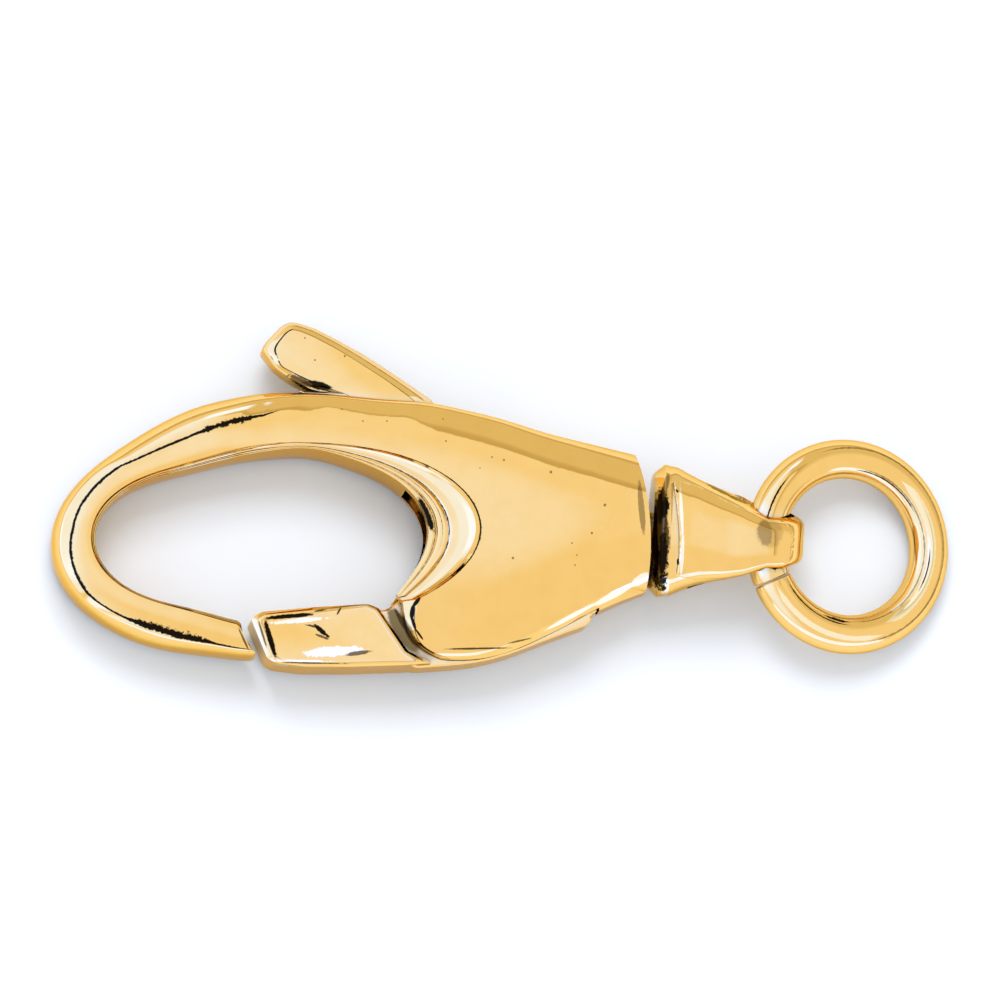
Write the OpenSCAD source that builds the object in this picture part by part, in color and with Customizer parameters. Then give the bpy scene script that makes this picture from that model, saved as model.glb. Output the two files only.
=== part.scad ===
// Swivel lobster clasp with jump ring, cast and polished gold.
// The clasp's own frame: X runs from the far end of the hook to the swivel, Y across the
// body with the trigger at +Y, Z through its thickness, and z = 0 is its middle plane.
// lay_down() then lays the clasp on a table: z = 0 is the table, and the origin is below
// the middle of the whole length and breadth.

/* [Body] */
// Length of the cast body, from the far end of the hook to its end face
body_l = 19.9; // [19.6:0.1:20.6]
// Breadth of the body across its widest part
body_w = 9; // [8.4:0.1:10]
// Thickness of the body at the crown of its dome
body_t = 3.6; // [3.5:0.1:4.4]
// Squareness of the dome's cross-section, where 2 is an ellipse
dome_square = 2.2; // [2:0.1:3]
// Radius of the end face, seen from the front
end_r = 7.8; // [6:0.1:20]
// Thickness of the hook's arm at its outer edge
edge_t = 0.2; // [0.1:0.02:0.4]

/* [Eye and hook] */
// Length of the eye
eye_l = 11.08; // [10.6:0.02:11.6]
// Breadth of the eye
eye_w = 5.7; // [5.4:0.05:6]
// How far the eye's centre lies below the swivel's line
eye_drop = 0.33; // [0:0.01:0.6]
// Width of the hook's arm at its far end
arm_w = 1.42; // [1.3:0.01:1.7]
// Thickness of the hook's arm at its far end
arm_t = 2.6; // [2.2:0.1:3]
// Width of the scoop between the eye and the dome's crisp edge
scoop_w = 2; // [1.6:0.05:2.3]
// Thickness of the two cheeks together, at their rim round the eye
rim_t = 2.5; // [2.2:0.05:2.9]

/* [Lever] */
// Width of the slot between the two cheeks
slot_w = 1.6; // [1.4:0.05:1.8]
// Side clearance of the lever in the slot, on each side
slot_gap = 0.06; // [0.03:0.01:0.1]
// Least clearance round the lever's edge
edge_gap = 0.15; // [0.1:0.01:0.25]
// Angle through which the lever opens
open_deg = 19; // [12:1:20]
// Distance of the pivot from the end face
pivot_back = 4.2; // [4:0.05:4.5]
// Distance of the pivot below the swivel's line
pivot_drop = 1; // [0.7:0.05:1.2]
// Diameter of the pivot pin
pin_d = 0.9; // [0.7:0.05:1.1]
// Clearance round the pin, on the radius
pin_gap = 0.04; // [0.02:0.01:0.08]
// Metal left over each end of the pin
pin_cover = 0.4; // [0.25:0.05:0.6]
// Thickness of the gate that closes the eye
gate_t = 2.2; // [1.9:0.05:2.5]
// Breadth of the gate
gate_w = 1.76; // [1.6:0.01:1.9]
// Length of the gate's upper edge
gate_l = 3.87; // [3.6:0.01:4]
// How far the gate's upper edge reaches into the eye
gate_in = 0.26; // [0.1:0.02:0.4]
// Width of the bevel along the edges of the gate and the trigger
bevel = 0.28; // [0.16:0.02:0.34]
// Depth of the gate's dished panel
dish = 0.08; // [0.04:0.01:0.12]
// Width of the flat border between the bevel and the dished panel
panel_in = 0.08; // [0.04:0.01:0.2]
// Gap between the hook's tip and the gate
tip_gap = 0.1; // [0.06:0.01:0.2]
// How far the lever's web stands back from the eye's rim
web_recess = 0.25; // [0.15:0.05:0.4]
// How far the lever's spine stands out below the body, at its tail
spine_out = 0.32; // [0.1:0.02:0.4]
// Length of the trigger outside the body, along its upper edge
trigger_l = 5.65; // [5:0.05:6.2]
// Breadth of the trigger
trigger_w = 2; // [1.6:0.05:2.2]

/* [Swivel bail] */
// Gap between the body's end face and the bail's base
base_gap = 0.12; // [0.08:0.01:0.3]
// Breadth of the bail's base
base_w = 4.4; // [4:0.02:4.8]
// Thickness of the bail's base
base_t = 3; // [2.6:0.1:3.4]
// Length of the bail, from its base to the middle of the ring's hole
bail_l = 3.85; // [3.6:0.05:4.4]
// Breadth of the strap round the ring
strap_w = 1.8; // [1.6:0.02:2.2]
// Thickness of the strap round the ring
strap_t = 0.52; // [0.4:0.02:0.7]
// Diameter of the swivel's post
post_d = 1.2; // [1:0.05:1.4]
// Diameter of the post's hidden head
head_d = 1.8; // [1.6:0.05:2]
// Length of the post inside the body, up to its head
post_l = 1.2; // [1:0.05:1.4]
// Thickness of the post's head
head_t = 0.4; // [0.3:0.05:0.6]
// Gap between the two leaves of the bail
leaf_gap = 0.6; // [0.3:0.05:1]
// Clearance round the post, on the radius and at the head's faces
post_gap = 0.05; // [0.03:0.01:0.08]
// Lean of the swivel's line in the clasp's plane
swivel_lean = 4.1; // [0:0.1:5]

/* [Jump ring] */
// Diameter of the ring's wire
wire_d = 1.3; // [1.1:0.02:1.4]
// Diameter of the hole in the ring
ring_hole_d = 4.6; // [4.3:0.02:5.4]
// Play between the wire and the bail, on the radius
wire_gap = 0.25; // [0.2:0.01:0.35]
// Width of the ring's butt seam
seam_w = 0.05; // [0.03:0.01:0.1]
// Place of the seam round the ring, as an angle from the ring's far end
seam_deg = 208; // [150:1:210]

/* [Hidden] */
gold = [0.93, 0.74, 0.4];
gold_deep = [0.86, 0.66, 0.3];

// Stations round the eye, one every 20 degrees, from below the hook's tip clockwise to the nose:
// [radius of the eye, as a share of its ellipse; arm width; arm thickness; scoop width]
STATION_STEP = 20;
STATION_FIRST = 280;
STATIONS = [
    [1.000, 0.78, 0.80, 0.09],
    [0.998, 0.79, 0.84, 0.09],
    [0.942, 0.90, 0.90, 0.09],
    [0.914, 1.31, 0.95, 0.09],
    [1.012, 1.12, 0.99, 0.09],
    [1.001, 0.97, 1.00, 0.09],
    [1.001, 1.04, 1.00, 0.09],
    [0.919, 1.33, 1.01, 0.09],
    [0.938, 1.45, 1.06, 0.10],
    [0.982, 1.42, 1.11, 0.11],
    [1.025, 1.50, 1.17, 0.12],
    [1.095, 1.62, 1.22, 0.07],
    [1.055, 1.70, 1.30, 0.26],
    [1.052, 1.70, 1.30, 0.59],
    [0.989, 1.70, 1.30, 1.03],
    [0.985, 1.70, 1.30, 0.45],
    [1.250, 1.70, 1.30, -0.20],
];

// Sections across the dome, one every SECTION_STEP of its length, from the arm's root on:
// [upper edge; lower edge, both as shares of the breadth; half thickness, as a share of the
// crown's; half thickness at the edge, as a share of the section's own]
SECTION_FIRST = 4;
SECTION_STEP = 0.0631 * body_l;
SECTIONS = [
    [0.457, -0.500, 0.72, 0.50],
    [0.500, -0.500, 0.74, 0.50],
    [0.512, -0.500, 0.79, 0.50],
    [0.508, -0.500, 0.84, 0.50],
    [0.493, -0.500, 0.89, 0.50],
    [0.476, -0.495, 0.93, 0.50],
    [0.471, -0.490, 0.965, 0.50],
    [0.437, -0.500, 0.985, 0.50],
    [0.405, -0.475, 1, 0.49],
    [0.355, -0.410, 1, 0.47],
    [0.321, -0.343, 0.98, 0.43],
    [0.290, -0.277, 0.94, 0.34],
    [0.256, -0.227, 0.87, 0.26],
    [0.221, -0.182, 0.79, 0.22],
    [0.186, -0.137, 0.70, 0.20],
];

body_h = body_t / 2;
arm_h = arm_t / 2;
rim_h = rim_t / 2;
eye_c = [arm_w + eye_l / 2, -eye_drop];
end_low = -eye_drop - 0.2;
root_deg = 80;
root_blend = [118, 62];
tip_deg = 256.8;
tip_skew = 10;
tip_bend_from = 230;
nose_deg = -24;
nose_x = 0.6505 * body_l;
nose_from = -8;
nose_bevel = 0.225 * scoop_w;
nose_bow = [0.21, 0.325] * scoop_w;
crown_at = 0.45;

// Smooth curve through a table's rows at place i, counted in rows
function smooth(rows, i) =
    let (n = len(rows), k = max(0, min(n - 2, floor(i))), f = i - k,
         a = rows[max(k - 1, 0)], b = rows[k], c = rows[k + 1], d = rows[min(k + 2, n - 1)])
    (a * pow(1 - f, 3) + b * (3 * pow(f, 3) - 6 * f * f + 4)
     + c * (-3 * pow(f, 3) + 3 * f * f + 3 * f + 1) + d * pow(f, 3)) / 6;
function ease(f) = let (g = max(0, min(1, f))) g * g * (3 - 2 * g);
function mix(a, b, f) = a * (1 - f) + b * f;
function toward(a) = [cos(a), sin(a)];

// The eye and the arm, by angle round the eye's centre
function station(a) = smooth(STATIONS, (STATION_FIRST - a) / STATION_STEP);
function eye_r(a) = station(a)[0] / norm([2 * cos(a) / eye_l, 2 * sin(a) / eye_w]);
function eye_edge(a, out = 0) = eye_c + (eye_r(a) + out) * toward(a);
function crease(a) = eye_edge(a, scoop_w * station(a)[3]);
function domed(a) = ease((root_blend[0] - a) / (root_blend[0] - root_blend[1]));

// The dome's outline and height, by place along the body
function section(x) = smooth(SECTIONS, x / SECTION_STEP - SECTION_FIRST);
function upper(x) = section(x)[0] * body_w;
function lower(x) = section(x)[1] * body_w;
function end_x(y) = body_l - end_r + sqrt(end_r * end_r - pow(y - end_low, 2));
function dome_z(p) =
    let (s = section(p.x), mid = (s[0] + s[1]) / 2 * body_w, half = (s[0] - s[1]) / 2 * body_w,
         u = min(1, abs(p.y - mid) / half))
    s[2] * body_h * mix(s[3], 1, pow(1 - pow(u, dome_square), 1 / dome_square));

// Height of the arm's crowned section at t, from its inner crease (0) to its outer edge (1)
function arm_z(a, t) =
    let (h = arm_h * station(a)[2],
         u = t < crown_at ? (crown_at - t) / crown_at : (t - crown_at) / (1 - crown_at))
    t < crown_at ? h * (1 - 0.2 * u * u) : h * pow(1 - pow(u, 2.2), 1 / 2.2);
function height(a, t, p) = max(edge_t / 2, mix(arm_z(a, t), dome_z(p), domed(a)));

// Outer edge: the arm by angle, melting into the dome's upper edge at the root
function upper_at(a) =
    let (x0 = eye_c.x + (upper(eye_c.x) - eye_c.y) / tan(a),
         x1 = eye_c.x + (upper(x0) - eye_c.y) / tan(a))
    [x1, upper(x1)];
function arm_edge(a) =
    let (p = eye_edge(a, arm_w * station(a)[1]))
    a > root_blend[0] ? p : mix(p, upper_at(a), ease((root_blend[0] - a) / (root_blend[0] - root_deg)));
corner_up = [end_x(upper(end_x(upper(body_l)))), upper(end_x(upper(body_l)))];
corner_low = [end_x(lower(end_x(lower(body_l)))), lower(end_x(lower(body_l)))];
function angle_of(p) = atan2(p.y - eye_c.y, p.x - eye_c.x);
function inner_deg(p) =
    let (a = angle_of(p), last = angle_of([nose_x, lower(nose_x)]))
    a > nose_from ? a : nose_from + (a - nose_from) * (nose_deg - nose_from) / (last - nose_from);

// The sections round the cast body, each [inner angle, outer point, crease, bow in plan]
ARM_STEPS = 30;
TOP_STEPS = 13;
END_STEPS = 8;
LOW_STEPS = 10;
root_x = upper_at(root_deg).x;
function plain_ring(p, bow = 0) = [inner_deg(p), p, crease(inner_deg(p)), bow];
nose_in = eye_edge(nose_deg);
nose_out = [nose_x, lower(nose_x)];
RINGS = concat(
    [for (i = [0 : ARM_STEPS])
        let (a = mix(tip_deg, root_deg, i / ARM_STEPS),
             turn = tip_skew * pow(max(0, (a - tip_bend_from) / (tip_deg - tip_bend_from)), 1.5))
        [a, arm_edge(a + turn), crease(a), 0]],
    [for (i = [1 : TOP_STEPS])
        let (x = mix(root_x, corner_up.x, i / TOP_STEPS))
        plain_ring([x, upper(x)])],
    [for (i = [1 : END_STEPS])
        let (y = mix(corner_up.y, corner_low.y, (1 - cos(180 * i / END_STEPS)) / 2))
        plain_ring([end_x(y), y])],
    [for (i = [1 : LOW_STEPS])
        let (x = mix(corner_low.x, nose_x + nose_bevel, i / LOW_STEPS))
        plain_ring([x, lower(x)], nose_bow[1] * pow(i / LOW_STEPS, 4))],
    [[nose_deg, nose_out, mix(nose_in, nose_out, 0.12), nose_bow[0]]]
);

COVE_STEPS = 3;
FACE_STEPS = 8;
// One section: its upper half from the eye's rim, over the crease, to the outer edge
function half_section(ring, low) =
    let (a = ring[0], out = ring[1], cr = ring[2], rim = eye_edge(a), d = (out - cr) / norm(out - cr),
         rim_z = mix(0.7 * arm_h * station(a)[2], rim_h, domed(a)), cr_z = height(a, 0, cr))
    concat(
        [for (j = [0 : COVE_STEPS - 1])
            let (f = j / COVE_STEPS)
            concat(mix(rim, cr, f), [min(low, mix(rim_z, cr_z, pow(f, 1.6)))])],
        [for (j = [0 : FACE_STEPS])
            let (t = sin(90 * j / FACE_STEPS), p = mix(cr, out, t) + ring[3] * sin(180 * t) * [d.y, -d.x])
            concat(p, [min(low, height(a, t, p))])]);

module cast_form() {
    m = len(RINGS);
    halves = [for (i = [0 : m - 1]) half_section(RINGS[i], i < m - 1 ? body_t : rim_h)];
    n = len(halves[0]);
    points = concat([for (h = halves) for (p = h) p],
                    [for (h = halves) for (p = h) [p.x, p.y, -p.z]]);
    under = n * m;
    faces = concat(
        [for (i = [0 : m - 2]) for (j = [0 : n - 2]) let (k = i * n + j) each
            [[k, k + 1, k + n], [k + 1, k + n + 1, k + n],
             [under + k, under + k + n, under + k + 1],
             [under + k + 1, under + k + n, under + k + n + 1]]],
        [for (i = [0 : m - 2]) let (k = i * n, q = k + n - 1) each
            [[k, k + n, under + k], [k + n, under + k + n, under + k],
             [q, under + q, q + n], [q + n, under + q, under + q + n]]],
        [for (j = [0 : n - 2]) let (k = j, q = (m - 1) * n + j) each
            [[k, under + k, k + 1], [k + 1, under + k, under + k + 1],
             [q, q + 1, under + q], [q + 1, under + q + 1, under + q]]]
    );
    polyhedron(points, faces, convexity = 8);
}

// The lever turns about its pivot; this turns a point of its outline
pivot = [body_l - pivot_back, -pivot_drop];
pin_h = dome_z(pivot) - pin_cover;
function turned(p, deg) =
    let (d = p - pivot)
    pivot + [d.x * cos(deg) - d.y * sin(deg), d.x * sin(deg) + d.y * cos(deg)];
function grown(p, by) = pivot + (p - pivot) * (1 + by / norm(p - pivot));

// The trigger, by shares of its length and breadth from where its upper edge leaves the body
trigger_deg = 147.5;
trigger_foot = [0.636 * body_l, upper(0.636 * body_l)];
function on_trigger(along, across) =
    trigger_foot + toward(trigger_deg) * along * trigger_l
    + toward(trigger_deg + 90) * across * trigger_w;
TRIGGER = [
    [-0.2, 0], [0.853, 0], [0.914, 0.07], [0.962, 0.17], [0.993, 0.43],
    [1, 0.78], [0.892, 0.91], [0.818, 0.99], [0.7, 1], [-0.1, 1],
];
trigger_line = [for (t = TRIGGER) on_trigger(t[0], t[1])];

// The web in the slot, from the trigger's back down to the tail, and back along the eye
tail_x = 0.901 * body_l;
function spine(f) = let (x = mix(tail_x, nose_x, f)) [x, lower(x) - spine_out * mix(1, 0.2, sin(150 * f))];
// Where the arm's root ends in the slot: [angle round the eye; depth, as a share of the scoop's width]
WEB_ROOT = [[21, 0.2], [29, 0.29], [40, 0.37], [57, 0.55]];
web_back = [on_trigger(0.1, 0), on_trigger(-0.2, 0), pivot + pin_d * [1.22, 1.67],
            [tail_x, lower(tail_x)] + pin_d * [-0.11, 0.67]];
web_foot = [[tail_x, lower(tail_x)], [tail_x, lower(tail_x) - 0.6 * spine_out], spine(0.03)];
web_spine = [for (f = [0.12 : 0.11 : 1]) spine(f)];
web_eye = [for (a = [-22 : 8.5 : 12]) eye_edge(a, web_recess)];
web_root = concat([for (w = WEB_ROOT) eye_edge(w[0], w[1] * scoop_w)], [on_trigger(0.7, 0.98)]);

// The gate, from the hook's tip round to the step where the web thins
tip_in = eye_edge(tip_deg);
tip_out = arm_edge(tip_deg + tip_skew);
tip_away = let (d = tip_out - tip_in) [-d.y, d.x] / norm(d);
function by_tip(f) = mix(tip_in, tip_out, f) + tip_gap * tip_away;
gate_start = eye_c + [0, gate_in - eye_w / 2];
gate_end = gate_start + gate_l * [1, 0.062];
step_in = nose_in + gate_w * [-0.18, -0.245];
step_out = nose_out + gate_w * [-0.61, 0.057];
// The web's end, from its spine round under the gate and back to the step
web_under_gate = [step_out + gate_w * [0.11, -0.2], step_out - gate_w * [0.28, 0],
                  step_in - gate_w * [0.28, 0], step_in];
// The gate's foot, from the step back to the tip: [place, as a share of its length; depth, of its breadth]
GATE_FOOT = [[1.351, 0.96], [1.155, 0.98], [0.749, 1], [0.341, 0.96], [0.147, 0.91], [0.07, 0.82]];
gate_line = concat(
    [gate_start, gate_end, step_in, step_out],
    [for (g = GATE_FOOT) gate_start + [g[0] * gate_l, -g[1] * gate_w]],
    [by_tip(0.85), by_tip(0.14)]
);

// The slot in the body: wide enough for the lever at rest, open and all between. Where it leaves
// the body its outline runs on by the length beyond.
beyond = body_w / 3;
slot_root = concat([for (w = WEB_ROOT) eye_edge(w[0], w[1] * scoop_w - edge_gap)],
                   [on_trigger(0.7, 1 + edge_gap / trigger_w), on_trigger(1.2, 1.1)]);
slot_back = [for (p = web_back) turned(grown(p, edge_gap), -open_deg)];

// Lying on a table the clasp touches it with its dome and with the far end of its hook
dome_touch = 0.65 * body_l;
hook_touch = 0.45 * arm_w;
rest_tilt = asin((section(dome_touch)[2] * body_h - arm_h) / (dome_touch - hook_touch));
rest_z = max([for (f = [0.6 : 0.01 : 0.9])
    section(f * body_l)[2] * body_h * cos(rest_tilt) - f * body_l * sin(rest_tilt)]);
ring_r = (ring_hole_d + wire_d) / 2;
hole_r = wire_d / 2 + wire_gap;
ring_at = base_gap + bail_l;
loop_x = body_l + ring_at * cos(swivel_lean);
loop_z = rest_z + loop_x * sin(rest_tilt);
ring_drop = asin((loop_z - wire_d / 2) / (2 * ring_r));
left_end = arm_edge(181).x * cos(rest_tilt);
right_end = loop_x * cos(rest_tilt) + 2 * ring_r * cos(ring_drop) * cos(swivel_lean) + wire_d / 2;
top_end = max([for (p = trigger_line) p.y]);
low_end = min([for (p = gate_line) p.y]);
rest_mid = [(left_end + right_end) / 2, (top_end + low_end) / 2];

module lay_down() {
    translate([-rest_mid.x, -rest_mid.y, rest_z]) rotate([0, -rest_tilt, 0]) children();
}

// The swivel's own frame: the end face's middle at the origin, the ring towards +X
module on_swivel() {
    translate([body_l, 0, 0]) rotate([0, 0, -swivel_lean]) children();
}

// A round bar along X, from x to x + length
module bar(x, length, r) {
    translate([x, 0, 0]) rotate([0, 90, 0]) cylinder(h = length, r = r, $fn = 48);
}

module flat_part(outline, thick) {
    translate([0, 0, -thick / 2]) linear_extrude(height = thick) polygon(outline);
}

module bevelled_part(outline, thick) {
    hull() {
        flat_part(outline, thick - 2 * bevel);
        translate([0, 0, -thick / 2]) linear_extrude(height = thick)
            offset(delta = -bevel) polygon(outline);
    }
}

// Rows along X of [x; half breadth; half thickness; squareness; skew], joined into one closed form
LOFT_SIDES = 24;
function loft_section(row) = [for (i = [0 : LOFT_SIDES - 1])
    let (a = 360 * i / LOFT_SIDES, q = 2 / row[3],
         z = row[2] * sign(sin(a)) * pow(abs(sin(a)), q))
    [row[0], row[1] * sign(cos(a)) * pow(abs(cos(a)), q) - row[4] * z, z]];

module loft(rows) {
    n = LOFT_SIDES;
    m = len(rows);
    points = [for (row = rows) each loft_section(row)];
    faces = concat(
        [[for (j = [0 : n - 1]) j], [for (j = [n - 1 : -1 : 0]) (m - 1) * n + j]],
        [for (i = [0 : m - 2]) for (j = [0 : n - 1]) let (k = i * n + j, l = i * n + (j + 1) % n) each
            [[k, k + n, l], [l, k + n, l + n]]]
    );
    polyhedron(points, faces, convexity = 4);
}

module slot_space() {
    flat_part(concat(
        [[eye_c.x, nose_out.y] + beyond * [0.67, -1], [tail_x, lower(tail_x)] + beyond * [0.33, -1],
         [tail_x + edge_gap, lower(tail_x) + 0.45 * slot_w]],
        [slot_back[2], slot_back[1],
         slot_back[0] + beyond * [0.67, 1.33], slot_back[0] + beyond * [-1.33, 2]],
        [for (i = [len(slot_root) - 1 : -1 : 0]) slot_root[i]],
        [eye_edge(14, -0.2 * scoop_w), eye_c]
    ), slot_w);
}

module socket_space() {
    on_swivel() {
        bar(-post_l, 2 * post_l, post_d / 2 + post_gap);
        bar(-post_l - head_t - 2 * post_gap, head_t + 2 * post_gap, head_d / 2 + post_gap);
    }
}

module body() {
    color(gold) lay_down() difference() {
        cast_form();
        slot_space();
        translate([pivot.x, pivot.y, -pin_h - pin_gap])
            cylinder(h = 2 * (pin_h + pin_gap), r = pin_d / 2 + pin_gap, $fn = 48);
        socket_space();
    }
}

module lever() {
    color(gold_deep) lay_down() difference() {
        union() {
            bevelled_part(trigger_line, slot_w - 2 * slot_gap);
            flat_part(concat(web_back, web_foot, web_spine, web_under_gate, web_eye, web_root),
                      slot_w - 2 * slot_gap);
            bevelled_part(gate_line, gate_t);
        }
        for (side = [-1, 1]) translate([0, 0, side * gate_t / 2 - dish]) linear_extrude(height = 2 * dish)
            offset(delta = -bevel - panel_in) polygon(gate_line);
        translate([pivot.x, pivot.y, -slot_w]) cylinder(h = 2 * slot_w, r = pin_d / 2 + pin_gap, $fn = 48);
    }
}

module pivot_pin() {
    color(gold_deep) lay_down() translate([pivot.x, pivot.y, -pin_h])
        cylinder(h = 2 * pin_h, r = pin_d / 2, $fn = 48);
}

// The bail, by sections along the swivel's line: [place, as a share of the bail's length;
// breadth; thickness, both as shares of the base's; squareness; skew of its front to -Y]
BAIL = [
    [0.00, 0.86, 0.80, 2.6, 0],
    [0.09, 1.00, 1.00, 2.8, 0],
    [0.20, 0.97, 0.99, 3.0, 0],
    [0.32, 0.87, 0.97, 3.2, 0.02],
    [0.42, 0.80, 0.96, 3.4, 0.06],
    [0.64, 0.68, 0.94, 3.8, 0.20],
    [0.82, 0.56, 0.94, 4.2, 0.28],
];
// The loop round the ring's wire, by angle from the strap to its far end
loop_h = hole_r + strap_t;
loop_skew = 0.3;
LOOP_DEG = [90, 66, 46, 28, 12];
bail_rows = concat(
    [for (b = BAIL) [base_gap + b[0] * bail_l, max(b[1] * base_w, strap_w) / 2,
                     min(b[2] * base_t / 2, mix(base_t / 2, loop_h, b[0])), b[3], b[4]]],
    [for (a = LOOP_DEG) [ring_at + loop_h * cos(a), strap_w / 2 * mix(0.7, 1, sin(a)),
                         loop_h * sin(a), 4.4, loop_skew]]
);

module bail() {
    color(gold) lay_down() on_swivel() {
        difference() {
            loft(bail_rows);
            translate([ring_at, base_w, 0]) rotate([90, 0, 0])
                cylinder(h = 2 * base_w, r = hole_r, $fn = 48);
            translate([base_gap + 0.35 * bail_l, -base_w, -leaf_gap / 2])
                cube([0.6 * bail_l, 2 * base_w, leaf_gap]);
        }
        bar(-post_l - post_gap, post_l + 3 * post_gap + base_gap, post_d / 2);
        bar(-post_l - head_t - post_gap, head_t, head_d / 2);
    }
}

module jump_ring() {
    color(gold) lay_down() on_swivel() translate([ring_at, 0, 0]) rotate([0, ring_drop + rest_tilt, 0])
        translate([ring_r, 0, 0]) difference() {
            rotate_extrude($fn = 64) translate([ring_r, 0]) circle(d = wire_d, $fn = 32);
            rotate([0, 0, seam_deg]) translate([ring_r, 0, 0])
                cube([2 * wire_d, seam_w, 2 * wire_d], center = true);
        }
}

body();
lever();
pivot_pin();
bail();
jump_ring();
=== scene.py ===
"""Looks of a swivel lobster clasp with its jump ring, in polished gold.

Shapes are worked out in millimetres in the clasp's own frame: X from the far end of the hook to
the swivel, Y across the body with the trigger at +Y, Z through its thickness. place() then lays
each piece on the table, in metres.
"""

import math

import bmesh
import bpy
import numpy as np
from mathutils import Matrix, Vector
from mathutils.bvhtree import BVHTree


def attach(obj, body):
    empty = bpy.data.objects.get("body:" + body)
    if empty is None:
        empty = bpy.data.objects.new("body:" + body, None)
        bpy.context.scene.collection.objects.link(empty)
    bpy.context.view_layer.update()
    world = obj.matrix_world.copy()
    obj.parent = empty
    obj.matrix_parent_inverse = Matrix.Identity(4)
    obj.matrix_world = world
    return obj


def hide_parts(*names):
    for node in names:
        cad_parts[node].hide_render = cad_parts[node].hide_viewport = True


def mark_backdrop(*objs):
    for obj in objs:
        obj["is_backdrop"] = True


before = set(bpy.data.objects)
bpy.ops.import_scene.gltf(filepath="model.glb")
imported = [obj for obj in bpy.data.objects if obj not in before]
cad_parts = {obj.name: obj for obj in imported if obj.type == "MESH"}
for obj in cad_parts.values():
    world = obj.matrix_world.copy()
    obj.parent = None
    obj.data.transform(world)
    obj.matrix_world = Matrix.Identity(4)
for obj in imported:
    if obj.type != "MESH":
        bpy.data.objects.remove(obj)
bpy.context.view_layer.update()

# Sizes, in millimetres
BODY_L, BODY_W, BODY_T = 19.9, 9.0, 3.6
DOME_SQUARE, END_R, EDGE_T = 2.2, 11.0, 0.2
EYE_L, EYE_W, EYE_DROP = 11.08, 5.7, 0.33
ARM_W, ARM_T, SCOOP_W, RIM_T = 1.42, 2.6, 2.0, 2.5
SLOT_W, SLOT_GAP, EDGE_GAP, OPEN_DEG = 1.6, 0.06, 0.15, 19
PIVOT_BACK, PIVOT_DROP, PIN_D, PIN_GAP, PIN_COVER = 4.2, 1.0, 0.9, 0.04, 0.4
GATE_T, GATE_W, GATE_L, GATE_IN = 2.2, 1.76, 3.87, 0.26
TIP_GAP, WEB_RECESS, SPINE_OUT = 0.1, 0.25, 0.32
TRIGGER_L, TRIGGER_W = 5.65, 2.0
BASE_GAP, BASE_W, BASE_T, BAIL_L = 0.12, 4.4, 3.0, 3.85
STRAP_W, STRAP_T, POST_D, HEAD_D, POST_L, HEAD_T = 1.8, 0.52, 1.2, 1.8, 1.2, 0.4
LEAF_GAP, POST_GAP, SWIVEL_LEAN = 0.6, 0.05, 4.1
WIRE_D, RING_HOLE_D, WIRE_GAP, SEAM_W, SEAM_DEG = 1.3, 4.6, 0.25, 0.05, 208

# Stations round the eye, one every 20 degrees, from below the hook's tip clockwise to the nose:
# radius of the eye as a share of its ellipse, arm width, arm thickness, scoop width
STATION_FIRST, STATION_STEP = 280, 20
STATIONS = np.array([
    [1.000, 0.78, 0.80, 0.09], [0.998, 0.79, 0.84, 0.09], [0.942, 0.90, 0.90, 0.09],
    [0.914, 1.31, 0.95, 0.09], [1.012, 1.12, 0.99, 0.09], [1.001, 0.97, 1.00, 0.09],
    [1.001, 1.04, 1.00, 0.09], [0.919, 1.33, 1.01, 0.09], [0.938, 1.45, 1.06, 0.10],
    [0.982, 1.42, 1.11, 0.11], [1.025, 1.50, 1.17, 0.12], [1.095, 1.62, 1.22, 0.07],
    [1.055, 1.70, 1.30, 0.26], [1.052, 1.70, 1.30, 0.59], [0.989, 1.70, 1.30, 1.03],
    [0.985, 1.70, 1.30, 0.45], [1.250, 1.70, 1.30, -0.20]])
# Sections across the dome: upper and lower edge as shares of the breadth, half thickness as a
# share of the crown's, half thickness at the edge as a share of the section's own
SECTION_FIRST, SECTION_STEP = 4, 0.0631 * BODY_L
SECTIONS = np.array([
    [0.457, -0.500, 0.72, 0.50], [0.500, -0.500, 0.74, 0.50], [0.512, -0.500, 0.79, 0.50],
    [0.508, -0.500, 0.84, 0.50], [0.493, -0.500, 0.89, 0.50], [0.476, -0.495, 0.93, 0.50],
    [0.471, -0.490, 0.965, 0.50], [0.437, -0.500, 0.985, 0.50], [0.405, -0.475, 1, 0.49],
    [0.355, -0.410, 1, 0.47], [0.321, -0.343, 0.98, 0.43], [0.290, -0.277, 0.94, 0.34],
    [0.256, -0.227, 0.87, 0.26], [0.221, -0.182, 0.79, 0.22], [0.186, -0.137, 0.70, 0.20]])
BODY_H, ARM_H, RIM_H = BODY_T / 2, ARM_T / 2, RIM_T / 2

# How the picture sees it: tilted 7 degrees to the hook and 8 to the gate, 30 pixels to 1 mm
LOOK_X, LOOK_Y, PX_PER_MM = math.radians(7), math.radians(8), 30
LOOK = Vector((-math.tan(LOOK_X), -math.tan(LOOK_Y), 1)).normalized()
RIGHT = (Vector((1, 0, 0)) - LOOK * LOOK.x).normalized()
UP = LOOK.cross(RIGHT)
CENTRE_MM = Vector((-0.1, -0.07, 2.0))
LENS, SENSOR = 1200.0, 36.0
AWAY = 1000 / PX_PER_MM * LENS / SENSOR
# Pixels along the arm's ridge, from the trigger round to the hook's tip
RIDGE_SEEN = [(300, 405), (264, 415), (186, 438), (137, 459), (118, 467), (87, 496),
              (73, 529), (73, 565), (87, 593), (118, 614), (160, 630), (226, 646)]
# How far the arm's inner face falls to the ridge, as a share of its height, how steep it starts
# outside, where its crown is, and how round it is outside, going out and coming down
RIDGE_DROP, RIDGE_LEAN, CROWN_AT, ROUND_OUT, ROUND_DOWN = 0.05, 0.40, 0.35, 2.4, 3.0
TIP_ROUND, TIP_ROUND_DEG = 0.26, 5.0
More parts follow.
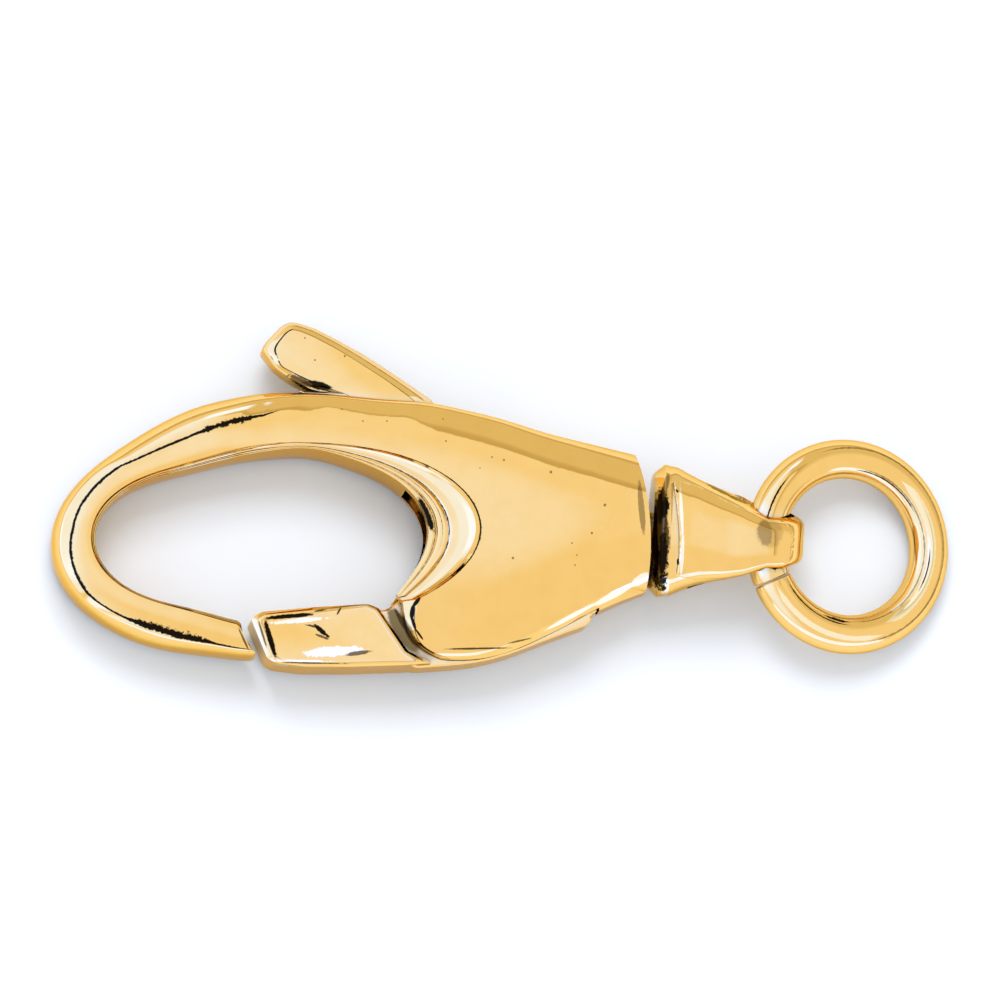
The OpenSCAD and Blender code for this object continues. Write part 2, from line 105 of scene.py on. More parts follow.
# The flat band polished outside the ridge at the hook's far end: share of the way out, fall, angles
BAND, BAND_FALL, BAND_DEG = 0.50, 0.20, (146, 160, 200, 216)
NOSE_DROP, NOSE_STEP = 0.14, 0.30
EYE_C = np.array([ARM_W + EYE_L / 2, -EYE_DROP])
END_LOW = -EYE_DROP - 0.2
ROOT_DEG, ROOT_BLEND = 80, (118, 62)
TIP_DEG, TIP_SKEW, TIP_BEND_FROM = 256.8, 10, 230
NOSE_DEG, NOSE_X, NOSE_FROM = -24, 0.6505 * BODY_L, -8
NOSE_BOW = (0.21 * SCOOP_W, 0.325 * SCOOP_W)


def point(*xyz):
    return np.array(xyz, float)


def mix(a, b, f):
    return a * (1 - f) + b * f


def ease(f):
    g = max(0.0, min(1.0, f))
    return g * g * (3 - 2 * g)


def toward(deg):
    return point(math.cos(math.radians(deg)), math.sin(math.radians(deg)))


def smooth(rows, i):
    """Smooth curve through a table's rows at place i, counted in rows."""
    k = int(max(0, min(len(rows) - 2, math.floor(i))))
    f = i - k
    a, b, c, d = rows[max(k - 1, 0)], rows[k], rows[k + 1], rows[min(k + 2, len(rows) - 1)]
    return (a * (1 - f) ** 3 + b * (3 * f ** 3 - 6 * f * f + 4)
            + c * (-3 * f ** 3 + 3 * f * f + 3 * f + 1) + d * f ** 3) / 6


# The body's surfaces
def station(a):
    return smooth(STATIONS, (STATION_FIRST - a) / STATION_STEP)


def eye_r(a):
    along = toward(a)
    return station(a)[0] / math.hypot(2 * along[0] / EYE_L, 2 * along[1] / EYE_W)


def eye_edge(a, out=0.0):
    return EYE_C + (eye_r(a) + out) * toward(a)


def tip_round(a):
    """How far the hook's inner corner is rounded off at its tip."""
    s = max(0.0, a - TIP_DEG + TIP_ROUND_DEG) / TIP_ROUND_DEG
    return TIP_ROUND * (1 - math.sqrt(1 - min(1.0, s) ** 2))


def crease(a):
    return eye_edge(a, SCOOP_W * station(a)[3] + tip_round(a))


def domed(a):
    return ease((ROOT_BLEND[0] - a) / (ROOT_BLEND[0] - ROOT_BLEND[1]))


def section(x):
    return smooth(SECTIONS, x / SECTION_STEP - SECTION_FIRST)


def upper(x):
    return section(x)[0] * BODY_W


def lower(x):
    return section(x)[1] * BODY_W


def end_x(y):
    return BODY_L - END_R + math.sqrt(END_R ** 2 - (y - END_LOW) ** 2)


def dome_z(p):
    s = section(p[0])
    mid, half = (s[0] + s[1]) / 2 * BODY_W, (s[0] - s[1]) / 2 * BODY_W
    u = min(1.0, abs(p[1] - mid) / half)
    return s[2] * BODY_H * mix(s[3], 1, (1 - u ** DOME_SQUARE) ** (1 / DOME_SQUARE))


def ridge_at(a):
    """Where the arm's ridge runs, as a share of the way from the crease to the outer edge."""
    return float(np.interp(a, ridge_deg, ridge_share))


def band_at(a):
    """How much of the way out the flat band takes at an angle round the eye."""
    start, full, fading, gone = BAND_DEG
    return BAND * ease((a - start) / (full - start)) * ease((gone - a) / (gone - fading))


def arm_z(a, t):
    h, ridge = ARM_H * station(a)[2], ridge_at(a)
    if t < ridge:
        return h * (1 - RIDGE_DROP * ((t / ridge - CROWN_AT) / (1 - CROWN_AT)) ** 2)
    band, way = band_at(a), min(1.0, (t - ridge) / (1 - ridge))
    start = RIDGE_LEAN / (1 + RIDGE_LEAN)
    out = (max(0.0, way - band) / (1 - band) + RIDGE_LEAN) / (1 + RIDGE_LEAN)
    fall = ((1 - out ** ROUND_OUT) / (1 - start ** ROUND_OUT)) ** (1 / ROUND_DOWN)
    return h * (1 - RIDGE_DROP - BAND_FALL * min(way, band)) * fall


def height(a, t, p):
    return max(EDGE_T / 2, mix(arm_z(a, t), dome_z(p), domed(a)))


def upper_at(a):
    slope = math.tan(math.radians(a))
    x0 = EYE_C[0] + (upper(EYE_C[0]) - EYE_C[1]) / slope
    x1 = EYE_C[0] + (upper(x0) - EYE_C[1]) / slope
    return point(x1, upper(x1))


def arm_edge(a):
    p = eye_edge(a, ARM_W * station(a)[1])
    if a > ROOT_BLEND[0]:
        return p
    return mix(p, upper_at(a), ease((ROOT_BLEND[0] - a) / (ROOT_BLEND[0] - ROOT_DEG)))


def angle_of(p):
    return math.degrees(math.atan2(p[1] - EYE_C[1], p[0] - EYE_C[0]))


def inner_deg(p):
    a, last = angle_of(p), angle_of(point(NOSE_X, lower(NOSE_X)))
    if a > NOSE_FROM:
        return a
    return mix(NOSE_FROM, NOSE_DEG, (a - NOSE_FROM) / (last - NOSE_FROM))


corner_up_x = end_x(upper(end_x(upper(BODY_L))))
corner_low_x = end_x(lower(end_x(lower(BODY_L))))
corner_up = point(corner_up_x, upper(corner_up_x))
corner_low = point(corner_low_x, lower(corner_low_x))
nose_in, nose_out = eye_edge(NOSE_DEG), point(NOSE_X, lower(NOSE_X))

# Outlines of the lever
pivot = point(BODY_L - PIVOT_BACK, -PIVOT_DROP)
pin_h = dome_z(pivot) - PIN_COVER


def turned(p, deg):
    d, c, s = p - pivot, math.cos(math.radians(deg)), math.sin(math.radians(deg))
    return pivot + point(d[0] * c - d[1] * s, d[0] * s + d[1] * c)


def grown(p, by):
    return pivot + (p - pivot) * (1 + by / np.linalg.norm(p - pivot))


TRIGGER_DEG = 147.5
trigger_foot = point(0.636 * BODY_L, upper(0.636 * BODY_L))


def on_trigger(along, across):
    return (trigger_foot + toward(TRIGGER_DEG) * along * TRIGGER_L
            + toward(TRIGGER_DEG + 90) * across * TRIGGER_W)


TRIGGER = [(-0.2, 0), (0.853, 0), (0.914, 0.07), (0.962, 0.17), (0.993, 0.43),
           (1, 0.78), (0.892, 0.91), (0.818, 0.99), (0.7, 1), (-0.1, 1)]
trigger_line = [on_trigger(*t) for t in TRIGGER]
TAIL_X, TAIL_PROUD = 0.901 * BODY_L, 0.24


def spine(f):
    x = mix(TAIL_X, NOSE_X, f)
    return point(x, lower(x) - SPINE_OUT * mix(1, 0.2, math.sin(math.radians(150 * f))))


WEB_ROOT = [(21, 0.2), (29, 0.29), (40, 0.37), (57, 0.55)]
tail = point(TAIL_X, lower(TAIL_X))
web_back = [on_trigger(0.1, 0), on_trigger(-0.2, 0), pivot + PIN_D * point(1.22, 1.67),
            tail + PIN_D * point(-0.11, 0.67)]
tail_end = point(TAIL_X + TAIL_PROUD, lower(TAIL_X + TAIL_PROUD))
web_foot = [tail_end, tail + point(0.03, 0), tail - point(0, 0.6 * SPINE_OUT), spine(0.03)]
web_spine = [spine(0.12 + 0.11 * k) for k in range(9)]
web_eye = [eye_edge(-22 + 8.5 * k, WEB_RECESS) for k in range(5)]
web_root = [eye_edge(a, d * SCOOP_W) for a, d in WEB_ROOT] + [on_trigger(0.7, 0.98)]
tip_in, tip_out = eye_edge(TIP_DEG), arm_edge(TIP_DEG + TIP_SKEW)
tip_away = point(-(tip_out - tip_in)[1], (tip_out - tip_in)[0]) / np.linalg.norm(tip_out - tip_in)


def by_tip(f):
    return mix(tip_in, tip_out, f) + TIP_GAP * tip_away


gate_start = EYE_C + point(0, GATE_IN - EYE_W / 2)
gate_end = gate_start + GATE_L * point(1, 0.062)
step_in = nose_in + GATE_W * point(-0.18, -0.245)
step_out = nose_out + GATE_W * point(-0.61, 0.057)
web_under_gate = [step_out + GATE_W * point(0.11, -0.2), step_out - GATE_W * point(0.28, 0),
                  step_in - GATE_W * point(0.28, 0), step_in]
GATE_FOOT = [(1.351, 0.96), (1.155, 0.98), (0.749, 1), (0.341, 0.96), (0.147, 0.91), (0.07, 0.82)]
gate_line = ([gate_start, gate_end, step_in, step_out]
             + [gate_start + point(a * GATE_L, -b * GATE_W) for a, b in GATE_FOOT]
             + [by_tip(0.85), by_tip(0.14)])
web_line = web_back + web_foot + web_spine + web_under_gate + web_eye + web_root

beyond = BODY_W / 3
slot_root = ([eye_edge(a, d * SCOOP_W - EDGE_GAP) for a, d in WEB_ROOT]
             + [on_trigger(0.7, 1 + EDGE_GAP / TRIGGER_W), on_trigger(1.2, 1.1)])
slot_back = [turned(grown(p, EDGE_GAP), -OPEN_DEG) for p in web_back]
slot_line = ([point(EYE_C[0], nose_out[1]) + beyond * point(0.67, -1), tail + beyond * point(0.33, -1),
              point(TAIL_X + EDGE_GAP, lower(TAIL_X) + 0.45 * SLOT_W), slot_back[2], slot_back[1],
              slot_back[0] + beyond * point(0.67, 1.33), slot_back[0] + beyond * point(-1.33, 2)]
             + slot_root[::-1] + [eye_edge(14, -0.2 * SCOOP_W), EYE_C])

# How it lies on the table
touch, hook_touch = 0.65 * BODY_L, 0.45 * ARM_W
rest_tilt = math.asin((section(touch)[2] * BODY_H - ARM_H) / (touch - hook_touch))
rest_z = max(section(f * BODY_L)[2] * BODY_H * math.cos(rest_tilt) - f * BODY_L * math.sin(rest_tilt)
             for f in (0.6 + 0.01 * k for k in range(31)))
ring_r, hole_r, ring_at = (RING_HOLE_D + WIRE_D) / 2, WIRE_D / 2 + WIRE_GAP, BASE_GAP + BAIL_L
loop_x = BODY_L + ring_at * math.cos(math.radians(SWIVEL_LEAN))
ring_drop = math.asin((rest_z + loop_x * math.sin(rest_tilt) - WIRE_D / 2) / (2 * ring_r))
left_end = arm_edge(181)[0] * math.cos(rest_tilt)
right_end = (loop_x * math.cos(rest_tilt)
             + 2 * ring_r * math.cos(ring_drop) * math.cos(math.radians(SWIVEL_LEAN)) + WIRE_D / 2)
rest_mid = point((left_end + right_end) / 2,
                 (max(p[1] for p in trigger_line) + min(p[1] for p in gate_line)) / 2)
LAID = Matrix.Translation((-rest_mid[0], -rest_mid[1], rest_z)) @ Matrix.Rotation(-rest_tilt, 4, "Y")
SWIVEL = Matrix.Translation((BODY_L, 0, 0)) @ Matrix.Rotation(math.radians(-SWIVEL_LEAN), 4, "Z")
RING = (SWIVEL @ Matrix.Translation((ring_at, 0, 0))
        @ Matrix.Rotation(ring_drop + rest_tilt, 4, "Y") @ Matrix.Translation((ring_r, 0, 0)))
LAID_BACK = LAID.inverted()


def seen_at(px, py, z):
    """The clasp's point at height z that shows at a pixel of the picture."""
    across = RIGHT * ((px - 500) / PX_PER_MM) + UP * ((500 - py) / PX_PER_MM)
    start, run = LAID_BACK @ (CENTRE_MM + across), LAID_BACK.to_3x3() @ (LOOK * AWAY - across)
    found = start + run * ((z - start.z) / run.z)
    return point(found.x, found.y)


def ridge_share_of(px, py):
    p = seen_at(px, py, ARM_H)
    a = angle_of(p) % 360
    inner, outer = crease(a), arm_edge(a)
    return a, float(np.linalg.norm(p - inner) / np.linalg.norm(outer - inner))


ridge_deg, ridge_share = (list(t) for t in zip(*(ridge_share_of(*p) for p in RIDGE_SEEN)))

# The body's sections
# How many sections the fine body has along each stretch, and steps across each of them
ARM_STEPS, TOP_STEPS, END_STEPS, LOW_STEPS = 150, 60, 28, 60
COVE_STEPS, INNER_STEPS, FACE_STEPS, RIM_STEPS, WALL_STEPS = 34, 12, 26, 5, 6
# The cove's steps near the eye's rim: [share of its width, share of its rise]
COVE = [(0, 0.0), (0.10, 0.04), (0.14, -0.02), (0.18, 0.15), (0.33, 0.19), (0.38, 0.08), (0.43, 0.20),
        (0.6, 0.27), (0.75, 0.42), (0.88, 0.66), (1, 1)]
# The strip polished along the cheeks' lower edge: [place along the body, width]
STRIP = [(NOSE_X + 0.5, 0.12), (14.6, 0.21), (16.4, 0.31), (17.7, 0.42), (19.0, 0.62)]


def strip_width(p):
    x = p[0]
    if x <= STRIP[0][0]:
        return STRIP[0][1]
    for (x0, w0), (x1, w1) in zip(STRIP, STRIP[1:]):
        if x <= x1:
            return mix(w0, w1, (x - x0) / (x1 - x0))
    return STRIP[-1][1]


def body_sections():
    """The sections round the cast body, each [inner angle, outer point, crease, bow, strip]."""
    rings = []
    for i in range(ARM_STEPS + 1):
        a = mix(TIP_DEG, ROOT_DEG, i / ARM_STEPS)
        turn = TIP_SKEW * max(0.0, (a - TIP_BEND_FROM) / (TIP_DEG - TIP_BEND_FROM)) ** 1.5
        rings.append((a, arm_edge(a + turn), crease(a), 0.0, 0.0))
    root_x = upper_at(ROOT_DEG)[0]

    def plain(p, bow=0.0, strip=0.0):
        return inner_deg(p), p, crease(inner_deg(p)), bow, strip

    for i in range(1, TOP_STEPS + 1):
        x = mix(root_x, corner_up[0], i / TOP_STEPS)
        rings.append(plain(point(x, upper(x))))
    for i in range(1, END_STEPS + 1):
        y = mix(corner_up[1], corner_low[1], (1 - math.cos(math.pi * i / END_STEPS)) / 2)
        p = point(end_x(y), y)
        rings.append(plain(p, 0.0, STRIP[-1][1] * ease((i / END_STEPS - 0.8) / 0.2)))
    for i in range(1, LOW_STEPS + 1):
        x = mix(corner_low[0], NOSE_X + NOSE_STEP, i / LOW_STEPS)
        p = point(x, lower(x))
        rings.append(plain(p, NOSE_BOW[1] * (i / LOW_STEPS) ** 4, strip_width(p)))
    rings.append((NOSE_DEG, nose_out, mix(nose_in, nose_out, 0.12), NOSE_BOW[0], 0.12))
    return rings


def cove_rise(f):
    return float(np.interp(f, [c[0] for c in COVE], [c[1] for c in COVE]))


def half_section(ring, low):
    """Upper half of one section, from the eye's rim over the crease to the outer edge, with the
    marks that the finish reads: 1 at the rim, 2 at the crease, 2.5 at the ridge, 3 at the edge."""
    a, out, cr, bow, strip = ring
    rim, reach = eye_edge(a, tip_round(a)), np.linalg.norm(out - cr)
    d = (out - cr) / reach
    bend = point(d[1], -d[0])
    rim_z = mix(0.7 * ARM_H * station(a)[2], RIM_H, domed(a))
    cr_z = height(a, 0, cr)
    pts, marks = [], []
    for j in range(COVE_STEPS):
        f = j / COVE_STEPS
        pts.append((*mix(rim, cr, f), min(low, mix(rim_z, cr_z, cove_rise(f)))))
        marks.append(1 + f)
    ridge = ridge_at(a)
    break_t = 1 - max(strip, 0.02) / reach
    ridge_turn, break_turn = math.asin(ridge), math.asin(break_t)
    turns = ([mix(0, ridge_turn, j / INNER_STEPS) for j in range(INNER_STEPS)]
             + [mix(ridge_turn, break_turn, j / FACE_STEPS) for j in range(FACE_STEPS)]
             + [mix(break_turn, math.pi / 2, j / RIM_STEPS) for j in range(RIM_STEPS + 1)])
    for turn in turns:
        t = math.sin(turn)
        p = mix(cr, out, t) + bow * math.sin(math.pi * t) * bend
        z = height(a, t, p)
        if strip and t > break_t:
            at_break = mix(cr, out, break_t) + bow * math.sin(math.pi * break_t) * bend
            z = mix(height(a, break_t, at_break), height(a, 1, out), (t - break_t) / (1 - break_t))
        pts.append((*p, min(low, z)))
        marks.append(2 + 0.5 * t / ridge if t < ridge else 2.5 + 0.5 * (t - ridge) / (1 - ridge))
    return pts, [(a / 360, m) for m in marks]


def closed_loop(half, bulge=0.04):
    """A whole section from its upper half: over the outer edge, under, and up the eye's wall."""
    pts, marks = half
    under = [(x, y, -z) for x, y, z in reversed(pts)]
    (x0, y0, z0), (x1, y1, _) = pts[0], pts[3]
    inward = point(x0 - x1, y0 - y1)
    inward /= np.linalg.norm(inward)
    wall = []
    for j in range(1, WALL_STEPS):
        s = math.cos(math.pi * (1 - j / WALL_STEPS))
        out = bulge * (1 - s * s) * min(1, z0)
        wall.append((x0 + inward[0] * out, y0 + inward[1] * out, z0 * s))
    return pts + under + wall, marks + marks[::-1] + [(marks[0][0], 0.8)] * len(wall)


# Making solids
SHARP_DEG = 20
MARKS = "marks"
workshop = bpy.data.collections.new("workshop")
bpy.context.scene.collection.children.link(workshop)


def solid(loops, marks=None, ends="flat", sharp=SHARP_DEG):
    """A closed form skinned over loops of equal length. ends: flat faces, or a strip across."""
    n = len(loops[0])
    points = [tuple(map(float, p)) for loop in loops for p in loop]
    faces = []
    for i in range(len(loops) - 1):
        for j in range(n):
            a, b = i * n + j, i * n + (j + 1) % n
            faces.append((a, b, b + n, a + n))
    last = (len(loops) - 1) * n
    if ends == "flat":
        faces += [tuple(range(n - 1, -1, -1)), tuple(range(last, last + n))]
    elif ends == "strip":
        half = (n - (WALL_STEPS - 1)) // 2
        for start, flip in ((0, True), (last, False)):
            for j in range(half - 1):
                quad = (start + j, start + j + 1, start + 2 * half - 2 - j, start + 2 * half - 1 - j)
                faces.append(quad[::-1] if flip else quad)
            wall = (start, start + 2 * half - 1, *(start + 2 * half + k for k in range(WALL_STEPS - 1)))
            faces.append(wall[::-1] if flip else wall)
    mesh = bpy.data.meshes.new("form")
    mesh.from_pydata(points, [], faces)
    if marks:
        flat = [m for loop in marks for m in loop]
        kept = mesh.uv_layers.new(name=MARKS)
        for corner in mesh.loops:
            kept.uv[corner.index].vector = flat[corner.vertex_index]
    work = bmesh.new()
    work.from_mesh(mesh)
    bmesh.ops.remove_doubles(work, verts=work.verts, dist=1e-5)
    bmesh.ops.dissolve_degenerate(work, edges=work.edges, dist=1e-6)
    bmesh.ops.recalc_face_normals(work, faces=work.faces)
    work.to_mesh(mesh)
    work.free()
    mesh.shade_smooth()
    mesh.set_sharp_from_angle(angle=math.radians(sharp))
    made = bpy.data.objects.new("form", mesh)
    workshop.objects.link(made)
    return made


def moved(made, matrix):
    made.data.transform(matrix)
    return made


# How near a point has to be to a form's surface, and how well it has to face its way, for the
# form's shading to be used there, and how far the point is drawn to the middle of its face
NEAR_FORM, SAME_WAY, DRAWN_IN = 0.004, 0.93, 0.03


def shading_of(made):
    """The smooth shading of a form, ready to be looked up from a point near its surface."""
    mesh = made.data
    mesh.calc_loop_triangles()
    corners = np.zeros(len(mesh.loops) * 3, np.float32)
    mesh.corner_normals.foreach_get("vector", corners)
    tris = [tuple(t.vertices) for t in mesh.loop_triangles]
    loops = [tuple(t.loops) for t in mesh.loop_triangles]
    points = [v.co.copy() for v in mesh.vertices]
    return BVHTree.FromPolygons(points, tris), points, tris, loops, corners.reshape(-1, 3)


def looked_up(shading, probe, facing):
    tree, points, tris, loops, corners = shading
    near, normal, index, away = tree.find_nearest(probe)
    if near is None or away > NEAR_FORM:
        return None
    agree = normal.dot(facing)
    if abs(agree) < SAME_WAY:
        return None
    a, b, c = (points[i] for i in tris[index])
    ab, ac, ap = b - a, c - a, near - a
    d00, d01, d11 = ab.dot(ab), ab.dot(ac), ac.dot(ac)
    d20, d21 = ap.dot(ab), ap.dot(ac)
    over = d00 * d11 - d01 * d01
    if abs(over) < 1e-16:
        return None
    v, w = (d11 * d20 - d01 * d21) / over, (d00 * d21 - d01 * d20) / over
    k = loops[index]
    found = corners[k[0]] * (1 - v - w) + corners[k[1]] * v + corners[k[2]] * w
    return away, found * (1 if agree > 0 else -1)


def fused(base, add=(), cut=(), shaded_by=()):
    """One form out of several: base with others added and others cut away, shading kept."""
    shadings = [shading_of(m) for m in (*shaded_by, base, *add, *cut)]
    for others, operation in ((add, "UNION"), (cut, "DIFFERENCE")):
        for other in others:
            step = base.modifiers.new(operation, "BOOLEAN")
            step.object, step.operation, step.solver = other, operation, "EXACT"
    graph = bpy.context.evaluated_depsgraph_get()
    mesh = bpy.data.meshes.new_from_object(base.evaluated_get(graph))
    work = bmesh.new()
    work.from_mesh(mesh)
    bmesh.ops.remove_doubles(work, verts=work.verts, dist=2e-5)
    bmesh.ops.dissolve_degenerate(work, edges=work.edges, dist=1e-5)
    work.to_mesh(mesh)
    work.free()
    mesh.update()
    normals = np.zeros((len(mesh.loops), 3), np.float32)
    verts = mesh.vertices
    for face in mesh.polygons:
        facing, centre = face.normal, face.center
        for k in face.loop_indices:
            probe = verts[mesh.loops[k].vertex_index].co.lerp(centre, DRAWN_IN)
            hits = [h for h in (looked_up(s, probe, facing) for s in shadings) if h]
            normals[k] = min(hits, key=lambda h: h[0])[1] if hits else facing
    for m in (base, *add, *cut, *shaded_by):
        bpy.data.objects.remove(m)
    made = bpy.data.objects.new("form", mesh)
    return made, normals


MM = 0.001


def place(name, form, matrix, finish, body, node):
    """Lays a finished form on the table in metres, in place of its CAD node."""
    made, normals = form if isinstance(form, tuple) else (form, None)
    mesh = made.data
    if normals is None:
        normals = np.zeros(len(mesh.loops) * 3, np.float32)
        mesh.corner_normals.foreach_get("vector", normals)
        normals = normals.reshape(-1, 3)
        workshop.objects.unlink(made)
    mesh.transform(Matrix.Scale(MM, 4) @ matrix)
    turn = np.array(matrix.to_3x3())
    normals = normals @ turn.T
    mesh.shade_smooth()
    mesh.normals_split_custom_set((normals / np.linalg.norm(normals, axis=1)[:, None]).tolist())
    mesh.materials.clear()
    mesh.materials.append(finish)
    made.name = mesh.name = name
    bpy.context.scene.collection.objects.link(made)
    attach(made, body)
    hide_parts(node)
    return made


def rounded(outline, cut, steps=5):
    """An outline with each corner rounded off, starting at a length from it."""
    n = len(outline)
    pts = []
    for i in range(n):
        p, before, after = outline[i], outline[i - 1], outline[(i + 1) % n]
        lb, la = np.linalg.norm(before - p), np.linalg.norm(after - p)
        c = min(cut, 0.48 * lb, 0.48 * la)
        a, b = p + (before - p) * c / lb, p + (after - p) * c / la
        for k in range(steps + 1):
            f = k / steps
            pts.append(a * (1 - f) ** 2 + p * 2 * f * (1 - f) + b * f * f)
    return pts


def inset(outline, by):
    """An outline drawn in by a length, with mitred corners. The outline runs anticlockwise."""
    n, pts = len(outline), []
    for i in range(n):
        p, before, after = outline[i], outline[i - 1], outline[(i + 1) % n]
        e0, e1 = (p - before) / np.linalg.norm(p - before), (after - p) / np.linalg.norm(after - p)
        n0, n1 = point(-e0[1], e0[0]), point(-e1[1], e1[0])
        pts.append(p + (n0 + n1) * by / max(0.25, 1 + n0 @ n1))
    return pts


def anticlockwise(outline):
    area = sum(a[0] * b[1] - b[0] * a[1] for a, b in zip(outline, outline[1:] + outline[:1]))
    return outline if area > 0 else outline[::-1]


def slab(outline, rows, corner=0.05):
    """A flat part: rows of (inset, height) from its side up to its face, the same below."""
    outline = anticlockwise(outline)
    loops = []
    for by, z in rows:
        line = rounded(inset(outline, by), max(0.01, corner - 0.5 * by))
        loops.append([(*p, z) for p in line])
    under = [[(x, y, -z) for x, y, z in loop] for loop in reversed(loops)]
    return solid(under + loops)


def round_bar(along, length, radius, sides=48):
    """A round bar from the origin of the matrix along, towards its X."""
    loops = [[(x, radius * math.cos(t), radius * math.sin(t))
              for t in (2 * math.pi * k / sides for k in range(sides))] for x in (0, length)]
    return moved(solid(loops), along)


# Finishes
class Value:
    """A shader value that can stand in plain arithmetic."""

    def __init__(self, finish, socket):
        self.finish, self.socket = finish, socket

    def math(self, operation, *others):
        return self.finish.node("ShaderNodeMath", {"operation": operation}, dict(enumerate(others)))

    def __add__(self, other):
        return self.math("ADD", self, other)

    def __sub__(self, other):
        return self.math("SUBTRACT", self, other)

    def __rsub__(self, other):
        return self.math("SUBTRACT", other, self)

    def __mul__(self, other):
        return self.math("MULTIPLY", self, other)

    def __truediv__(self, other):
        return self.math("DIVIDE", self, other)

    def __rtruediv__(self, other):
        return self.math("DIVIDE", other, self)

    def __pow__(self, other):
        return self.math("POWER", self, other)

    __radd__, __rmul__ = __add__, __mul__

    def __abs__(self):
        return self.math("ABSOLUTE", self)

    def most(self, other):
        return self.math("MAXIMUM", self, other)

    def least(self, other):
        return self.math("MINIMUM", self, other)

    def between(self, low, high):
        """0 at low and under, 1 at high and over, smooth between them."""
        return self.finish.node("ShaderNodeMapRange", {"interpolation_type": "SMOOTHSTEP"},
                                {"Value": self, "From Min": low, "From Max": high})


class Finish:
    """A finish: constants set on the shader, and what varies over the surface linked to it.
    The sky round the clasp is drawn with the same tools."""

    def __init__(self, owner, **constants):
        owner.use_nodes = True
        self.owner, self.tree = owner, owner.node_tree
        self.shader = self.tree.nodes.get("Principled BSDF")
        for key, value in constants.items():
            self.shader.inputs[key.replace("_", " ")].default_value = value

    def node(self, kind, settings=None, inputs=None, output=0):
        made = self.tree.nodes.new(kind)
        for key, value in (settings or {}).items():
            setattr(made, key, value)
        for key, value in (inputs or {}).items():
            if isinstance(value, Value):
                self.tree.links.new(value.socket, made.inputs[key])
            else:
                made.inputs[key].default_value = value
        return Value(self, made.outputs[output])

    def vector(self, operation, *inputs, output=0, **named):
        return self.node("ShaderNodeVectorMath", {"operation": operation},
                         {**dict(enumerate(inputs)), **named}, output)

    def place(self):
        """Place on the piece, in millimetres."""
        return self.vector("SCALE", self.node("ShaderNodeTexCoord", output="Object"), Scale=1000.0)

    def on_picture(self, here):
        """Where a place on the front falls on the picture, in its pixels."""
        right, up, near = [
            self.vector("DOT_PRODUCT", here, tuple(axis), output="Value") - axis.dot(CENTRE_MM)
            for axis in (RIGHT, UP, LOOK)]
        scale = PX_PER_MM * AWAY / (AWAY - near)
        x, y = 500 + right * scale, 500 - up * scale
        return self.node("ShaderNodeCombineXYZ", None, {0: x, 1: y})

    def parts(self, vector):
        made = self.tree.nodes.new("ShaderNodeSeparateXYZ")
        self.tree.links.new(vector.socket, made.inputs[0])
        return [Value(self, made.outputs[k]) for k in range(3)]

    def noise(self, where, per_mm, detail=2.0, rough=0.5):
        return self.node("ShaderNodeTexNoise", None,
                         {"Vector": where, "Scale": per_mm, "Detail": detail, "Roughness": rough})

    def patch(self, seen, spot, size, turn, torn):
        """1 inside an oval patch of the picture, 0 outside, with torn edges."""
        local = self.node("ShaderNodeMapping", {"vector_type": "TEXTURE"},
                          {"Vector": seen, "Location": (*spot, 0.0),
                           "Rotation": (0.0, 0.0, math.radians(turn)), "Scale": (*size, 1.0)})
        return 1 - (self.vector("LENGTH", local, output="Value") + torn).between(0.72, 1.0)

    def colour(self, factor, a, b):
        return self.node("ShaderNodeMix", {"data_type": "RGBA"}, {0: factor, 6: a, 7: b}, output=2)

    def glow(self, colour):
        return self.node("ShaderNodeEmission", None, {"Color": colour, "Strength": 1.0})

    def shows(self, surface):
        """Takes a surface of its own in place of the usual shader."""
        self.tree.links.new(surface.socket, self.tree.nodes["Material Output"].inputs["Surface"])
        self.tree.nodes.remove(self.shader)

    def wear(self, **sockets):
        for key, value in sockets.items():
            self.tree.links.new(value.socket, self.shader.inputs[key.replace("_", " ")])

    def relief(self, height, distance):
        self.wear(Normal=self.node("ShaderNodeBump", None,
                                   {"Height": height, "Distance": distance, "Strength": 1.0}))


# The metal's own tones are GOLD, GOLD_DEEP and GOLD_EDGE, and TARNISH darkens its pits. The pale and
# cream colours are painted highlights, the inner pale one is a painted reflection in partly enclosed
# places, and the brown, olive, black and crevice colours are painted shade and dark reflections
GOLD = (0.93, 0.595, 0.19, 1)
GOLD_DEEP = (0.87, 0.53, 0.145, 1)
HIGHLIGHT_PALE = (1.0, 0.93, 0.78, 1)
GOLD_EDGE = (0.92, 0.68, 0.34, 1)
HOLLOW_REFLECTION_PALE = (0.90, 0.72, 0.40, 1)
HIGHLIGHT_CREAM = (0.98, 0.84, 0.56, 1)
SHADE_BROWN = (0.42, 0.26, 0.08, 1)
TARNISH = (0.30, 0.16, 0.04, 1)
CREVICE_SHADE = (0.11, 0.065, 0.02, 1)
SHADE_OLIVE = (0.24, 0.16, 0.05, 1)
SHADE_BLACK = (0.012, 0.008, 0.004, 1)
# How near another surface has to be, in metres, for a crease to get painted shade, and the height from
# which on a place is on the front
CREVICE_REACH, FRONT_FROM, FRONT_FULL = 0.0007, 1.7, 1.9


def window(value, low, high, soft):
    """1 from low to high, fading over soft at both ends."""
    return value.between(low - soft, low + soft) * (1 - value.between(high - soft, high + soft))


